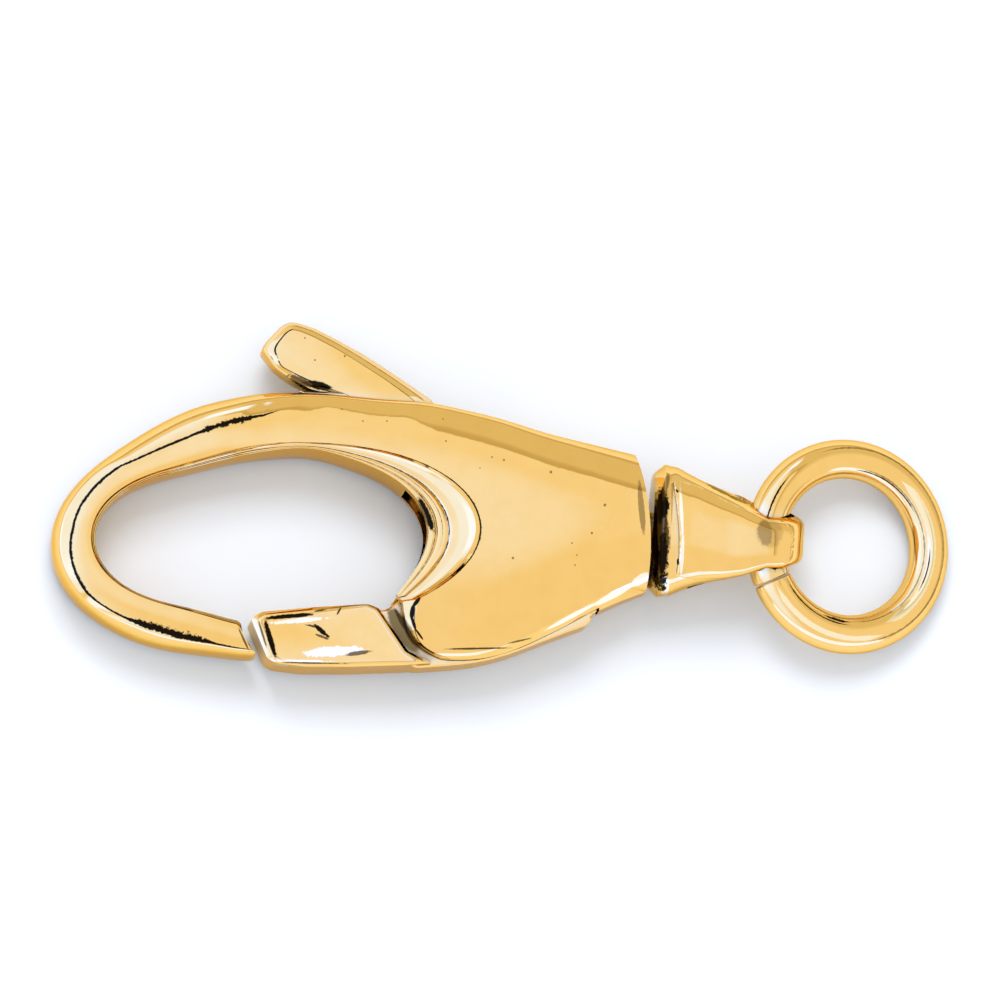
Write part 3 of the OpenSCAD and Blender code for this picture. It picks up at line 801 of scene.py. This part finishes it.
def polished_gold(name, ripple, haze, lines=(), painted_shade=(), glints=(), pits=(),
                  grain=(1.0, 9.0, 9.0), sand=0.0):
    """Polished gold: slow ripples left by the buff, faint hairlines and small pits, with painted light
    on top: a paler tone as a painted reflection where the surface is partly enclosed, painted shade in
    the creases, and painted highlights, shade and dark reflections on the front.
    lines: painted dark reflections or highlights along a mark, (mark, half width in marks, from and to
    along, how torn, ink).
    glints, which are painted highlights, and the patches of painted shade and dark reflection: (middle,
    half size, turn, how torn), and a shade patch's ink and strength.
    pits: (middle, half size). Middles and sizes are in the picture's pixels."""
    f = Finish(bpy.data.materials.new(name), Metallic=1.0, Specular_Tint=GOLD_EDGE)
    here = f.place()
    seen = f.on_picture(here)
    front = f.parts(here)[2].between(FRONT_FROM, FRONT_FULL)
    slow = f.noise(here, 0.35)
    quick = f.noise(here, 1.5)
    fine = f.noise(here, 9.0, 3.0, 0.6)
    hair = f.noise(f.vector("MULTIPLY", here, grain), 2.2, 4.0, 0.65).between(0.62, 0.76)
    relief = slow * 0.7 + quick * 0.2 + hair * 0.01 + fine * (0.002 + sand)

    def torn_spot(spot, size, turn, tear):
        return f.patch(seen, spot, size, turn, (fine - 0.5) * tear + (quick - 0.5) * tear) * front

    tone = f.colour(quick.between(0.35, 0.75) * 0.35, GOLD, GOLD_DEEP)
    open_sky = f.node("ShaderNodeAmbientOcclusion", {"samples": 6},
                      {"Distance": CREVICE_REACH}, output=1)
    # Painted reflection: a paler tone where nearby surfaces close the place in, toning down gold
    # reflected in gold
    tone = f.colour(1 - open_sky.between(0.55, 0.97), tone, HOLLOW_REFLECTION_PALE)
    # Painted highlights: pale patches on the front
    for spot in glints:
        tone = f.colour(torn_spot(*spot), tone, HIGHLIGHT_PALE)
    # Painted shade and dark reflections: dark patches on the front
    for *spot, ink, strength in painted_shade:
        tone = f.colour(torn_spot(*spot) * strength, tone, ink)
    # Painted dark reflections and highlights in lines along the marks of the form
    along, mark, _ = f.parts(f.node("ShaderNodeUVMap", {"uv_map": MARKS}))
    for at, half, start, end, tear, ink in lines:
        fading = min(0.02, (end - start) / 4)
        ends = window(along + (fine - 0.5) * tear * 0.01, start, end, fading)
        wide = (1 + (fine - 0.5) * tear * 2 + (quick - 0.5) * tear) * ends * half
        off = abs(mark - at) / wide.most(half * 0.02)
        tone = f.colour((1 - off.between(0.6, 1.0)) * ends.between(0, 0.1), tone, ink)
    # Painted shade: towards near black in creases and recesses closed in by nearby surfaces
    tone = f.colour(1 - open_sky.between(0.25, 0.7), tone, CREVICE_SHADE)
    for spot, size in pits:
        hole = f.patch(seen, spot, (size, size), 0, 0.0) * front
        tone = f.colour(hole * 0.9, tone, TARNISH)
        relief = relief - hole * 0.6
    f.wear(Base_Color=tone, Roughness=quick.between(0.3, 0.8) * 0.03 + hair * 0.05 + haze)
    f.relief(relief, ripple * MM)
    return f.owner


# Along is the angle round the eye, in turns, and on the nose's bevel from -0.08 to -0.10.
# Marks: 1.12 and 1.38 the steps of the rim, 2 the crease, 2.5 the arm's ridge
NOSE_ALONG = (-0.08, -0.10)
# Painted dark reflections along the arm's ridge, the crease, the rim's steps and the nose's bevel
BODY_LINES = [
    (2.5, 0.034, 0.238, 0.705, 0.7, SHADE_BLACK), (2.495, 0.065, 0.262, 0.335, 1.4, SHADE_BLACK),
    (2.5, 0.046, 0.40, 0.56, 0.9, SHADE_BLACK), (2.49, 0.11, 0.592, 0.668, 1.3, SHADE_BLACK),
    (1.985, 0.018, -0.062, 0.21, 0.5, SHADE_BLACK), (2.5, 0.50, -0.0826, -0.0796, 0.0, SHADE_BLACK),
    (1.13, 0.010, -0.05, 0.24, 1.4, SHADE_BLACK), (1.40, 0.012, -0.04, 0.20, 1.6, SHADE_BLACK),
    (1.27, 0.006, 0.0, 0.12, 1.6, SHADE_BLACK)]
# Painted shade and dark reflections on the body: dome end, eye wall, nose, recess, lower edge
BODY_PAINTED_SHADE = [
    ((641.5, 508), (3.4, 29), -5, 0.35, SHADE_BROWN, 1.0),
    ((426, 514), (4.5, 22), -23, 0.7, SHADE_BLACK, 1.0),
    ((416.5, 602), (2.4, 7), 38, 0.25, SHADE_BLACK, 1.0),
    ((412.4, 612), (2.9, 9), 8, 0.25, SHADE_BLACK, 1.0),
    ((413.5, 623), (2.0, 9), -18, 0.25, SHADE_BLACK, 1.0),
    ((419, 634), (1.3, 8), -36, 0.25, SHADE_BLACK, 1.0),
    ((403, 630), (9.5, 30), -32, 0.25, SHADE_OLIVE, 1.0),
    ((408, 631), (2.4, 20), -31, 0.7, SHADE_BLACK, 1.0),
    ((478, 648.5), (34, 1.1), -1, 0.6, SHADE_BLACK, 0.9),
    ((521, 640.5), (14, 1.0), -13, 0.6, SHADE_BLACK, 0.8),
    ((244, 640), (1.2, 14), -25, 0.6, CREVICE_SHADE, 0.9)]
# Painted highlights along the body's lower edge
BODY_GLINTS = [
    ((572, 616), (34, 2.4), -28, 0.3), ((615, 594), (28, 3.8), -28, 0.3),
    ((641, 579), (12, 5), -32, 0.3)]
PITS = [
    ((605, 505), 1.7), ((551, 472), 1.6), ((513, 558), 1.5), ((504, 460), 1.3), ((592, 533), 1.4),
    ((492, 457), 1.1), ((446, 441), 1.1), ((575, 565), 1.0), ((572, 543), 1.0), ((577, 555), 0.9),
    ((443, 419), 1.0), ((363, 421), 1.0), ((387, 421), 1.0), ((342, 409), 1.0), ((480, 468), 0.8)]
cast_gold = polished_gold("cast_gold_polished", 0.010, 0.03, lines=BODY_LINES, painted_shade=BODY_PAINTED_SHADE,
                          glints=BODY_GLINTS, pits=PITS)
# Marks: from 10 at the trigger's edge to 11 at its face, from 20 at the gate's edge to 21 at its face
TRIGGER_MARK, GATE_MARK = 10, 20
# Painted dark reflections along the trigger's face and bevel
LEVER_LINES = [
    (TRIGGER_MARK + 0.92, 0.09, 0.76, 1.02, 0.3, SHADE_BLACK),
    (TRIGGER_MARK + 0.92, 0.09, -0.02, 0.17, 0.3, SHADE_BLACK),
    (TRIGGER_MARK + 0.43, 0.05, 0.36, 0.74, 0.8, SHADE_BROWN),
    (TRIGGER_MARK + 0.95, 0.05, 0.36, 0.74, 0.6, SHADE_BROWN)]
# Painted shade and dark reflections on the trigger, the gate and the recess
LEVER_PAINTED_SHADE = [
    ((318, 385.5), (17, 4.6), 13, 0.5, SHADE_BLACK, 1.0),
    ((300, 381), (14, 4.5), 24, 0.9, CREVICE_SHADE, 0.9),
    ((270.5, 640), (3.2, 21), -16, 0.8, SHADE_BLACK, 1.0),
    ((291, 616), (27, 2.4), -5, 0.8, SHADE_BLACK, 1.0),
    ((320, 610.5), (8, 1.2), -8, 0.8, SHADE_BLACK, 0.9),
    ((339, 611), (1.2, 5), 30, 0.5, SHADE_BLACK, 0.9),
    ((321, 630), (11, 2.4), 42, 1.4, SHADE_BLACK, 1.0),
    ((312, 626), (8, 1.4), 12, 1.0, SHADE_BLACK, 0.9), ((323, 637), (8, 1.2), 20, 1.2, CREVICE_SHADE, 0.9),
    ((358, 653), (15, 2.2), -8, 1.0, CREVICE_SHADE, 0.9), ((403, 630), (9.5, 30), -32, 0.25, SHADE_OLIVE, 1.0),
    ((405, 626), (3.0, 20), -32, 0.5, SHADE_BLACK, 0.9),
    ((262.5, 634), (1.3, 16), -17, 0.5, CREVICE_SHADE, 0.9),
    ((312, 663), (37, 0.9), 1, 0.9, SHADE_BLACK, 0.9)]
# Painted highlights on the gate and trigger
LEVER_GLINTS = [
    ((333, 651.5), (36, 5.5), -4, 0.9), ((300, 620.5), (30, 2.6), -5, 0.9),
    ((300, 661), (36, 1.4), 1, 0.9), ((281, 665), (9, 1.6), 6, 0.5)]
LEVER_PITS = [((345, 356), 1.2), ((315, 360), 1.0), ((305, 338), 0.9)]
lever_gold = polished_gold("lever_gold_polished", 0.016, 0.06, lines=LEVER_LINES, painted_shade=LEVER_PAINTED_SHADE,
                           glints=LEVER_GLINTS, pits=LEVER_PITS, grain=(9.0, 1.0, 9.0), sand=0.01)
# Painted shade and dark reflections on the bail's base, leaf and loop
BAIL_PAINTED_SHADE = [
    ((661, 542), (9.5, 54), 1, 0.7, CREVICE_SHADE, 1.0), ((662, 508), (7, 19), 6, 1.3, SHADE_BLACK, 1.0),
    ((663, 558), (5, 34), 2, 1.5, SHADE_BLACK, 1.0), ((656, 575), (3, 14), 0, 1.5, SHADE_BLACK, 1.0),
    ((666, 486), (3, 14), 12, 0.9, CREVICE_SHADE, 0.7), ((765, 533), (8, 14), -3, 0.5, SHADE_BROWN, 0.9),
    ((769, 533), (15, 17), -3, 0.4, SHADE_BROWN, 0.45),
    ((719, 490), (16, 1.6), 27, 0.8, CREVICE_SHADE, 0.8), ((740, 500), (12, 2.0), 22, 0.8, CREVICE_SHADE, 0.8),
    ((677, 491), (2.4, 1.2), 50, 0.4, SHADE_BLACK, 1.0),
    ((678, 562), (1.4, 4), 0, 0.6, SHADE_BLACK, 1.0)]
# Painted highlights on the bail's base and leaf
BAIL_GLINTS = [
    ((665, 590), (4, 11), 10, 0.5), ((681.5, 512), (2.0, 30), -3, 0.4),
    ((682, 556), (2.2, 24), 3, 0.4)]
bail_gold = polished_gold("bail_gold_polished", 0.018, 0.05, painted_shade=BAIL_PAINTED_SHADE, glints=BAIL_GLINTS,
                          grain=(9.0, 1.5, 9.0))
# Painted highlights in cream and painted dark reflections in brown and black along the wire
RING_LINES = [
    (40.285, 0.040, 0.84, 1.14, 0.3, HIGHLIGHT_CREAM), (40.20, 0.026, 0.60, 0.80, 0.3, HIGHLIGHT_CREAM),
    (40.17, 0.010, 0.80, 1.30, 1.2, SHADE_BROWN), (40.345, 0.008, 0.78, 1.22, 1.2, SHADE_BROWN),
    (40.19, 0.010, 1.40, 1.53, 0.8, SHADE_BLACK), (40.31, 0.008, 0.60, 0.74, 0.9, SHADE_BLACK),
    (40.34, 0.016, 0.70, 0.745, 1.2, SHADE_BLACK), (40.36, 0.007, 1.10, 1.24, 0.6, SHADE_BLACK),
    (40.30, 0.007, 0.93, 1.0, 0.6, SHADE_BLACK)]
wire_gold = polished_gold("wire_gold_drawn", 0.012, 0.05, lines=RING_LINES, grain=(2.0, 2.0, 9.0),
                          sand=0.003)
pin_gold = polished_gold("pin_gold_turned", 0.008, 0.12, grain=(9.0, 9.0, 1.0))

# Body
sections = body_sections()
halves = [half_section(r, BODY_T) for r in sections]
nose_pts, nose_marks = halves[-1]
halves[-2] = (halves[-2][0], [(NOSE_ALONG[0], m) for _, m in halves[-2][1]])
nose_low = [(x, y, max(0.1, z - NOSE_DROP * ease((m - 1.6) / 0.4)))
            for (x, y, z), (_, m) in zip(nose_pts, nose_marks)]
halves[-1] = (nose_low, [(NOSE_ALONG[1], m) for _, m in nose_marks])
# The hook's tip is broken at its edge: its end section is drawn in by a share of its own half width
TIP_BEVEL, TIP_HALF = 0.07, 0.8
tip_pts, tip_marks = halves[0]
tip_mid = np.mean([p[:2] for p in tip_pts], axis=0)
halves[0] = ([(*mix(point(x, y), tip_mid, TIP_BEVEL / TIP_HALF), z * (1 - TIP_BEVEL / ARM_H))
              for x, y, z in tip_pts], tip_marks)
body_loops, body_marks = zip(*(closed_loop(h) for h in halves))
cast = solid(list(body_loops), list(body_marks), ends="strip")
slot = slab(slot_line, [(0, SLOT_W / 2)], corner=0.0)
UPRIGHT, ACROSS = (Matrix.Rotation(-math.pi / 2, 4, axis) for axis in "YZ")
pocket = moved(round_bar(UPRIGHT, 2 * (pin_h + PIN_GAP), PIN_D / 2 + PIN_GAP),
               Matrix.Translation((*pivot, -pin_h - PIN_GAP)))
throat = round_bar(SWIVEL @ Matrix.Translation((-POST_L, 0, 0)), 2 * POST_L, POST_D / 2 + POST_GAP)
chamber = round_bar(SWIVEL @ Matrix.Translation((-POST_L - HEAD_T - 2 * POST_GAP, 0, 0)),
                    HEAD_T + 2 * POST_GAP, HEAD_D / 2 + POST_GAP)
place("body_cast", fused(cast, cut=(slot, pocket, throat, chamber)), LAID, cast_gold,
      "clasp_body", "body")

# Lever
half_web = SLOT_W / 2 - SLOT_GAP
# Outlines of the trigger and the gate in the picture's pixels: edge and face, point by point
TRIGGER_EDGE = [
    (261, 350), (267, 341), (282, 325.5), (290, 322), (298, 323), (315, 328.5), (340, 341.5),
    (365, 355.5), (398, 377), (430, 399), (452, 424), (400, 434), (345, 398), (309, 390),
    (290, 380), (274, 368)]
TRIGGER_FACE = [
    (275.5, 350), (278, 344), (285.5, 334.5), (291, 330), (298, 330.5), (313, 336.5), (334, 347.5),
    (355, 360.5), (384, 379), (409, 397), (436, 422), (402, 428), (346, 394), (319, 384),
    (298, 374.5), (281.5, 366)]
GATE_EDGE = [
    (251.1, 619.1), (255, 615.5), (262, 611.8), (310, 607.5), (368, 604), (378.5, 608), (408, 651),
    (432, 663), (404, 665.1), (349, 668.1), (304, 666.6), (276.1, 663.1), (267.1, 658.1)]
GATE_PANEL = [
    (261.5, 622.5), (263, 619.5), (267, 617.5), (312, 613), (366, 606.5), (375.5, 611),
    (402.5, 652), (416, 661), (395, 661), (345, 662.5), (305, 663), (281.5, 660.5), (275.5, 655)]


def clear_of_tip(p):
    """Keeps the gate's end clear of the hook's tip and of the widest line of the clasp."""
    near = (p - tip_in) @ tip_away
    p = p + tip_away * max(0.0, 0.8 * TIP_GAP - near) if near < 1.0 else p
    return point(p[0], max(p[1], min(q[1] for q in gate_line)))


def facing_form(edge, face, half_edge, half_face, rows, cut, mark, keep=lambda p: p):
    """A part with an edge and a face drawn as the picture shows them, the same front and back.
    rows: (share of the way from edge to face, share of the rise)."""
    low = [keep(seen_at(*q, half_edge)) for q in edge]
    top = [keep(seen_at(*q, half_face)) for q in face]
    back = sum(a[0] * b[1] - b[0] * a[1] for a, b in zip(low, low[1:] + low[:1])) < 0
    loops, marks = [], []
    for across, rise in rows:
        line = rounded([mix(a, b, across) for a, b in zip(low, top)], cut, 4)
        line = line[::-1] if back else line
        z = mix(half_edge, half_face, rise)
        loops.append([(*q, z) for q in line])
        marks.append([(k / len(line), mark + across) for k in range(len(line))])
    under = [[(x, y, -z) for x, y, z in loop] for loop in reversed(loops)]
    return solid(under + loops, marks[::-1] + marks)


# How each goes from its edge to its face, [share of the way, share of the rise], and how far it rises
TRIGGER_ROWS = [(0, 0), (0.10, 0.50), (0.40, 0.54), (0.46, 0.60), (0.94, 0.96), (1.0, 0.97), (1.06, 1.0)]
GATE_ROWS = [(0, 0), (0.50, 0.72), (0.56, 0.86), (0.88, 1.0), (0.95, 0.95), (1.0, 0.66), (1.12, 0.58)]
TRIGGER_RISE, TRIGGER_CORNER, GATE_RISE, GATE_CORNER = 0.24, 0.14, 0.12, 0.07
trigger = facing_form(TRIGGER_EDGE, TRIGGER_FACE, half_web - TRIGGER_RISE, half_web,
                      TRIGGER_ROWS, TRIGGER_CORNER, TRIGGER_MARK)
web = slab(web_line, [(0, half_web - 0.08), (0.06, half_web - 0.01)], corner=0.12)
gate = facing_form(GATE_EDGE, GATE_PANEL, GATE_T / 2 - GATE_RISE, GATE_T / 2,
                   GATE_ROWS, GATE_CORNER, GATE_MARK, clear_of_tip)
bore = moved(round_bar(UPRIGHT, 2 * SLOT_W, PIN_D / 2 + PIN_GAP),
             Matrix.Translation((*pivot, -SLOT_W)))
place("lever_cast", fused(web, add=(trigger, gate), cut=(bore,)), LAID, lever_gold,
      "lever", "lever")

# Bail
# Sections along the strap: place along it, breadth as a share of the base's, thickness as a share,
# how square it is, how much it leans over sideways
BAIL = np.array([
    [0.00, 0.86, 0.80, 2.6, 0], [0.09, 1.00, 1.00, 2.8, 0], [0.20, 0.97, 0.99, 3.0, 0],
    [0.32, 0.87, 0.97, 3.2, 0.02], [0.42, 0.80, 0.96, 3.4, 0.06], [0.64, 0.68, 0.94, 3.8, 0.20],
    [0.82, 0.56, 0.94, 4.2, 0.28]])
loop_h = hole_r + STRAP_T
LOOP_SKEW, LOOP_SQUARE, LOOP_NARROW = 0.3, 4.4, 0.3
BAIL_SIDES = 96
# The ring's hole through the loop is a little wider where the ring swings, and more so at its two mouths
SWING_ROOM, MOUTH_ROOM, MOUTH_Y = 0.05, 0.2, 1.0
# The front leaf stands a little proud of the strap under it; its outline, in the picture's pixels
LEAF_SEEN = [
    (674, 479), (700, 485), (731, 503), (756, 511.5), (777, 516), (789, 522), (796, 534),
    (794.5, 550), (786, 566), (774, 571.5), (745, 575), (714, 576.5), (694, 577.5), (677, 575),
    (679.5, 558), (679.5, 530)]
LEAF_PROUD = 0.12
LOOP_TURNS = (90, 82, 74, 66, 58, 50, 42, 35, 28, 20, 12)


def bail_loop(x, half_w, half_t, square, skew):
    pts = []
    for k in range(BAIL_SIDES):
        a = 2 * math.pi * k / BAIL_SIDES
        c, s = math.cos(a), math.sin(a)
        z = half_t * math.copysign(abs(s) ** (2 / square), s)
        pts.append((x, half_w * math.copysign(abs(c) ** (2 / square), c) - skew * z, z))
    return pts


def between_rows(rows, steps):
    out = []
    for a, b in zip(rows, rows[1:]):
        out += [mix(np.array(a), np.array(b), k / steps) for k in range(steps)]
    return out + [np.array(rows[-1])]


def strap_form(low):
    """The strap from its wide base to its loop, its leaves lower by a length."""
    rows = []
    for x, w, t, square, skew in between_rows(BAIL, 5):
        thick = min(t * BASE_T / 2, mix(BASE_T / 2, loop_h, x)) - low * ease((x - 0.1) / 0.06)
        rows.append((BASE_GAP + x * BAIL_L, max(w * BASE_W, STRAP_W) / 2, thick, square, skew))
    for turn in LOOP_TURNS:
        c, s = math.cos(math.radians(turn)), math.sin(math.radians(turn))
        rows.append((ring_at + (loop_h - low) * c, STRAP_W / 2 * mix(LOOP_NARROW, 1.0, math.sqrt(s)),
                     (loop_h - low) * s, LOOP_SQUARE, LOOP_SKEW))
    return solid([bail_loop(*r) for r in rows],
                 [[(r[0] / 10, 30 + k / BAIL_SIDES) for k in range(BAIL_SIDES)] for r in rows])


def leaf(side):
    """A leaf of the bail, on its front (1) or back (-1): the strap's full form inside its outline."""
    to_bail, full = SWIVEL.inverted(), strap_form(0.0)
    outline = []
    for px, py in LEAF_SEEN:
        p = to_bail @ Vector((*seen_at(px, py, BASE_T / 2 * 0.95), 0))
        outline.append(point(p.x, p.y * side))
    shape = slab(outline, [(0, BASE_T)], corner=0.16)
    shape.data.transform(Matrix.Translation((0, 0, side * (BASE_T + LEAF_GAP / 2 + 0.02))))
    kept = full.modifiers.new("kept", "BOOLEAN")
    kept.object, kept.operation, kept.solver = shape, "INTERSECT", "EXACT"
    mesh = bpy.data.meshes.new_from_object(full.evaluated_get(bpy.context.evaluated_depsgraph_get()))
    bpy.data.objects.remove(shape)
    bpy.data.objects.remove(full)
    made = bpy.data.objects.new("form", mesh)
    workshop.objects.link(made)
    return made


strap = strap_form(LEAF_PROUD)
post = round_bar(Matrix.Translation((-POST_L - POST_GAP, 0, 0)),
                 POST_L + 3 * POST_GAP + BASE_GAP, POST_D / 2)
head = round_bar(Matrix.Translation((-POST_L - HEAD_T - POST_GAP, 0, 0)), HEAD_T, HEAD_D / 2)
hole = moved(round_bar(ACROSS, 2 * BASE_W, hole_r + SWING_ROOM, 96),
             Matrix.Translation((ring_at, BASE_W, 0)))
mouths = [moved(round_bar(ACROSS, BASE_W, hole_r + MOUTH_ROOM, 96),
                Matrix.Translation((ring_at, y, 0))) for y in (-MOUTH_Y, MOUTH_Y + BASE_W)]
gap_from, gap_to = (BASE_GAP + share * BAIL_L for share in (0.35, 0.95))
gap_line = [point(gap_from, -BASE_W), point(gap_to, -BASE_W), point(gap_to, BASE_W),
            point(gap_from, BASE_W)]
gap = slab(gap_line, [(0, LEAF_GAP / 2)], corner=0.0)
bail_form = fused(strap, add=(leaf(1), leaf(-1), post, head), cut=(hole, *mouths, gap),
                  shaded_by=(strap_form(0.0),))
place("bail_folded", bail_form, LAID @ SWIVEL, bail_gold, "bail", "bail")

# Jump ring
RING_STEPS, WIRE_SIDES = 160, 48


def wire_loop(deg, shrink=0.0):
    a = math.radians(deg)
    pts = []
    for k in range(WIRE_SIDES):
        t = 2 * math.pi * k / WIRE_SIDES
        r = ring_r + (WIRE_D / 2 - shrink) * math.cos(t)
        pts.append((r * math.cos(a), r * math.sin(a), (WIRE_D / 2 - shrink) * math.sin(t)))
    return pts


half_seam = math.degrees(SEAM_W / 2 / ring_r)
first, last = SEAM_DEG + half_seam, SEAM_DEG + 360 - half_seam
# Both ends of the wire are broken at the edge within a short turn from the seam
END_DEG, END_SHRINK = 0.6, [0.05, 0.012]
ring_turns = ([first, first + END_DEG] + [mix(first, last, k / RING_STEPS) for k in range(1, RING_STEPS)]
              + [last - END_DEG, last])
ring_shrink = END_SHRINK + [0.0] * (RING_STEPS - 1) + END_SHRINK[::-1]
ring_form = solid([wire_loop(d, s) for d, s in zip(ring_turns, ring_shrink)],
                  [[(d / 360, 40 + k / WIRE_SIDES) for k in range(WIRE_SIDES)] for d in ring_turns])
place("jump_ring_wire", ring_form, LAID @ RING, wire_gold, "jump_ring", "jump_ring")

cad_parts["pivot_pin"].data.materials.clear()
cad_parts["pivot_pin"].data.materials.append(pin_gold)
bpy.data.collections.remove(workshop)


# Floor, light and camera
def sheet_between(name, low, high):
    """A flat rectangle between two corners that share one coordinate."""
    flat = min(range(3), key=lambda k: high[k] - low[k])
    a, b = [k for k in range(3) if k != flat]
    corners = []
    for u, v in ((0, 0), (1, 0), (1, 1), (0, 1)):
        p = list(low)
        p[a], p[b] = (low[a], high[a])[u], (low[b], high[b])[v]
        corners.append(p)
    mesh = bpy.data.meshes.new(name)
    mesh.from_pydata(corners, [], [(0, 1, 2, 3)])
    made = bpy.data.objects.new(name, mesh)
    bpy.context.scene.collection.objects.link(made)
    return made, a, b


def reflected_only(made, surface):
    """Puts a studio part where only reflections show it."""
    made.data.materials.append(surface.owner)
    made.visible_camera = made.visible_diffuse = made.visible_shadow = False
    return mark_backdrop(made)


def softbox(name, low, high, colour, soft):
    """A bright card between two corners. soft: how far it fades in at each of its edges."""
    made, a, b = sheet_between(name, low, high)
    f = Finish(bpy.data.materials.new(name))
    spread = f.parts(f.node("ShaderNodeTexCoord", output="Generated"))
    along, across = spread[a], spread[b]
    lit = (along.between(0, soft[0]) * (1 - along).between(0, soft[1])
           * across.between(0, soft[2]) * (1 - across).between(0, soft[3]))
    f.shows(f.node("ShaderNodeMixShader", None,
                   {0: lit, 1: f.node("ShaderNodeBsdfTransparent"), 2: f.glow(colour)}))
    return reflected_only(made, f)


camera_data = bpy.data.cameras.new("camera")
camera_data.lens, camera_data.sensor_width = LENS, SENSOR
camera = bpy.data.objects.new("camera", camera_data)
camera.matrix_world = (Matrix.Translation((CENTRE_MM + LOOK * AWAY) * MM)
                       @ Matrix((RIGHT, UP, LOOK)).transposed().to_4x4())
camera_data.clip_start, camera_data.clip_end = 0.01, 10
bpy.context.scene.collection.objects.link(camera)
bpy.context.scene.camera = camera
bpy.context.scene.view_settings.view_transform = "Standard"

FLOOR = 3.0
floor, _, _ = sheet_between("floor", (-FLOOR, -FLOOR, 0), (FLOOR, FLOOR, 0))
paper = Finish(bpy.data.materials.new("white_paper"), Base_Color=(0.80, 0.855, 0.945, 1), Roughness=0.9,
               Specular_IOR_Level=0.2)
floor.data.materials.append(paper.owner)

# The studio's walls are white, with a brown shade low down at the back
sky = bpy.data.worlds.new("studio")
around = Finish(sky)
WALL_WHITE, WALL_SHADE = (1, 1, 1, 1), (0.68, 0.62, 0.44, 1)
east, north, upward = around.parts(around.node("ShaderNodeTexCoord", output="Generated"))
low_shade = (1 - upward.between(0.10, 0.34)) * (north + east * 0.6).between(-0.1, 0.45)
around.tree.links.new(around.colour(low_shade, WALL_WHITE, WALL_SHADE).socket,
                      sky.node_tree.nodes["Background"].inputs["Color"])
bpy.context.scene.world = sky

# The key light comes from behind the clasp; it is soft, and only the floor shows it
KEY_AT, KEY_POWER, KEY_SIZE = Vector((-0.06, 0.34, 0.60)), 2.05, 0.30
key_data = bpy.data.lights.new("key", "AREA")
key_data.energy, key_data.size = KEY_POWER, KEY_SIZE
key = bpy.data.objects.new("key", key_data)
key.matrix_world = Matrix.Translation(KEY_AT) @ KEY_AT.to_track_quat("Z", "Y").to_matrix().to_4x4()
key.visible_glossy = False
bpy.context.scene.collection.objects.link(key)

# The studio above the clasp, seen only in its reflections. x and y are a direction's run to the
# right and to the back for each metre that it rises. The softbox overhead has a round back corner
# and a warm heart; there is shade behind it and at the right, and at the left are large bright
# softboxes and a narrow one far at the back
CEILING_Z, CEILING_R = 0.6, 2.2
SOFTBOX_X, SOFTBOX_Y, SOFTBOX_ROUND, SOFTBOX_BACK = 0.37, 0.665, 6, 0.42
HEART_X, HEART_Y, HEART_R, HEART_BACK, HEART_FRONT = 0.02, 0.2, 0.19, 0.34, 0.27
PLAIN_WHITE, BOX_WHITE, HEART_CREAM = (1, 1, 1, 1), (1.02, 1.05, 1.13, 1), (1.035, 1.19, 1.85, 1)
SHADE_DEEP, SHADE_FAR = (0.64, 0.57, 0.38, 1), (0.82, 0.78, 0.63, 1)
LEFT_CREAM, FAR_WHITE, FRONT_WHITE = (1.03, 1.42, 3.2, 1), (1.08, 1.65, 4.6, 1), (1.08, 1.6, 4.2, 1)
ceiling, _, _ = sheet_between("studio_ceiling", (-CEILING_R, -CEILING_R, CEILING_Z),
                              (CEILING_R, CEILING_R, CEILING_Z))
above = Finish(bpy.data.materials.new("studio_ceiling"))
over = above.vector("SCALE", above.node("ShaderNodeTexCoord", output="Object"), Scale=1 / CEILING_Z)
x, y, _ = above.parts(over)
to_back = (y - SOFTBOX_BACK * (1 - x.between(-0.02, 0.08))).most(0)
reach = (x.most(0) / SOFTBOX_X) ** SOFTBOX_ROUND + (to_back / SOFTBOX_Y) ** SOFTBOX_ROUND
outside = (reach - 1).between(0, 0.18)
box = (1 - outside) * y.between(-0.04, 0.08) * (x + 0.25).between(-0.1, 0.1)
shade = outside * y.between(-0.08, 0.04) * (x + 0.12).between(-0.08, 0.04)
right_end = (x - 0.45).between(0, 0.25) * (1 - y.between(0.3, 0.9))
heart = (1 - ((x - HEART_X).most(0) / HEART_R) ** 2 - ((y - HEART_Y).most(0) / HEART_BACK) ** 2
         - ((y - HEART_Y).least(0) / HEART_FRONT) ** 2)
left = (0.05 - x).between(0, 0.55) * (y + 2.0).between(0, 0.6) * (1 - (y - 1.5).between(0, 0.5))
far_left = (0 - x).between(0.9, 1.6) * (y + 1.0).between(0, 0.6) * (1 - (y - 1.0).between(0, 0.4))
narrow = ((1 - x.between(-0.02, 0.05)) * x.between(-0.6, -0.3)
          * y.between(1.30, 1.40) * (1 - y.between(2.1, 2.3)))
shown = above.colour(box, PLAIN_WHITE, BOX_WHITE)
shown = above.colour(heart.between(0, 1.1), shown, HEART_CREAM)
shown = above.colour(shade * (1 - right_end), shown,
                     above.colour((reach - 1).between(0.1, 4.0), SHADE_DEEP, SHADE_FAR))
shown = above.colour(left, shown, LEFT_CREAM)
shown = above.colour(far_left.most(narrow), shown, FAR_WHITE)
above.shows(above.glow(shown))
reflected_only(ceiling, above)
softbox("softbox_front", (-0.9, -0.8, 0.03), (0.9, -0.8, 0.42), FRONT_WHITE, (0.1, 0.1, 0.2, 0.2))
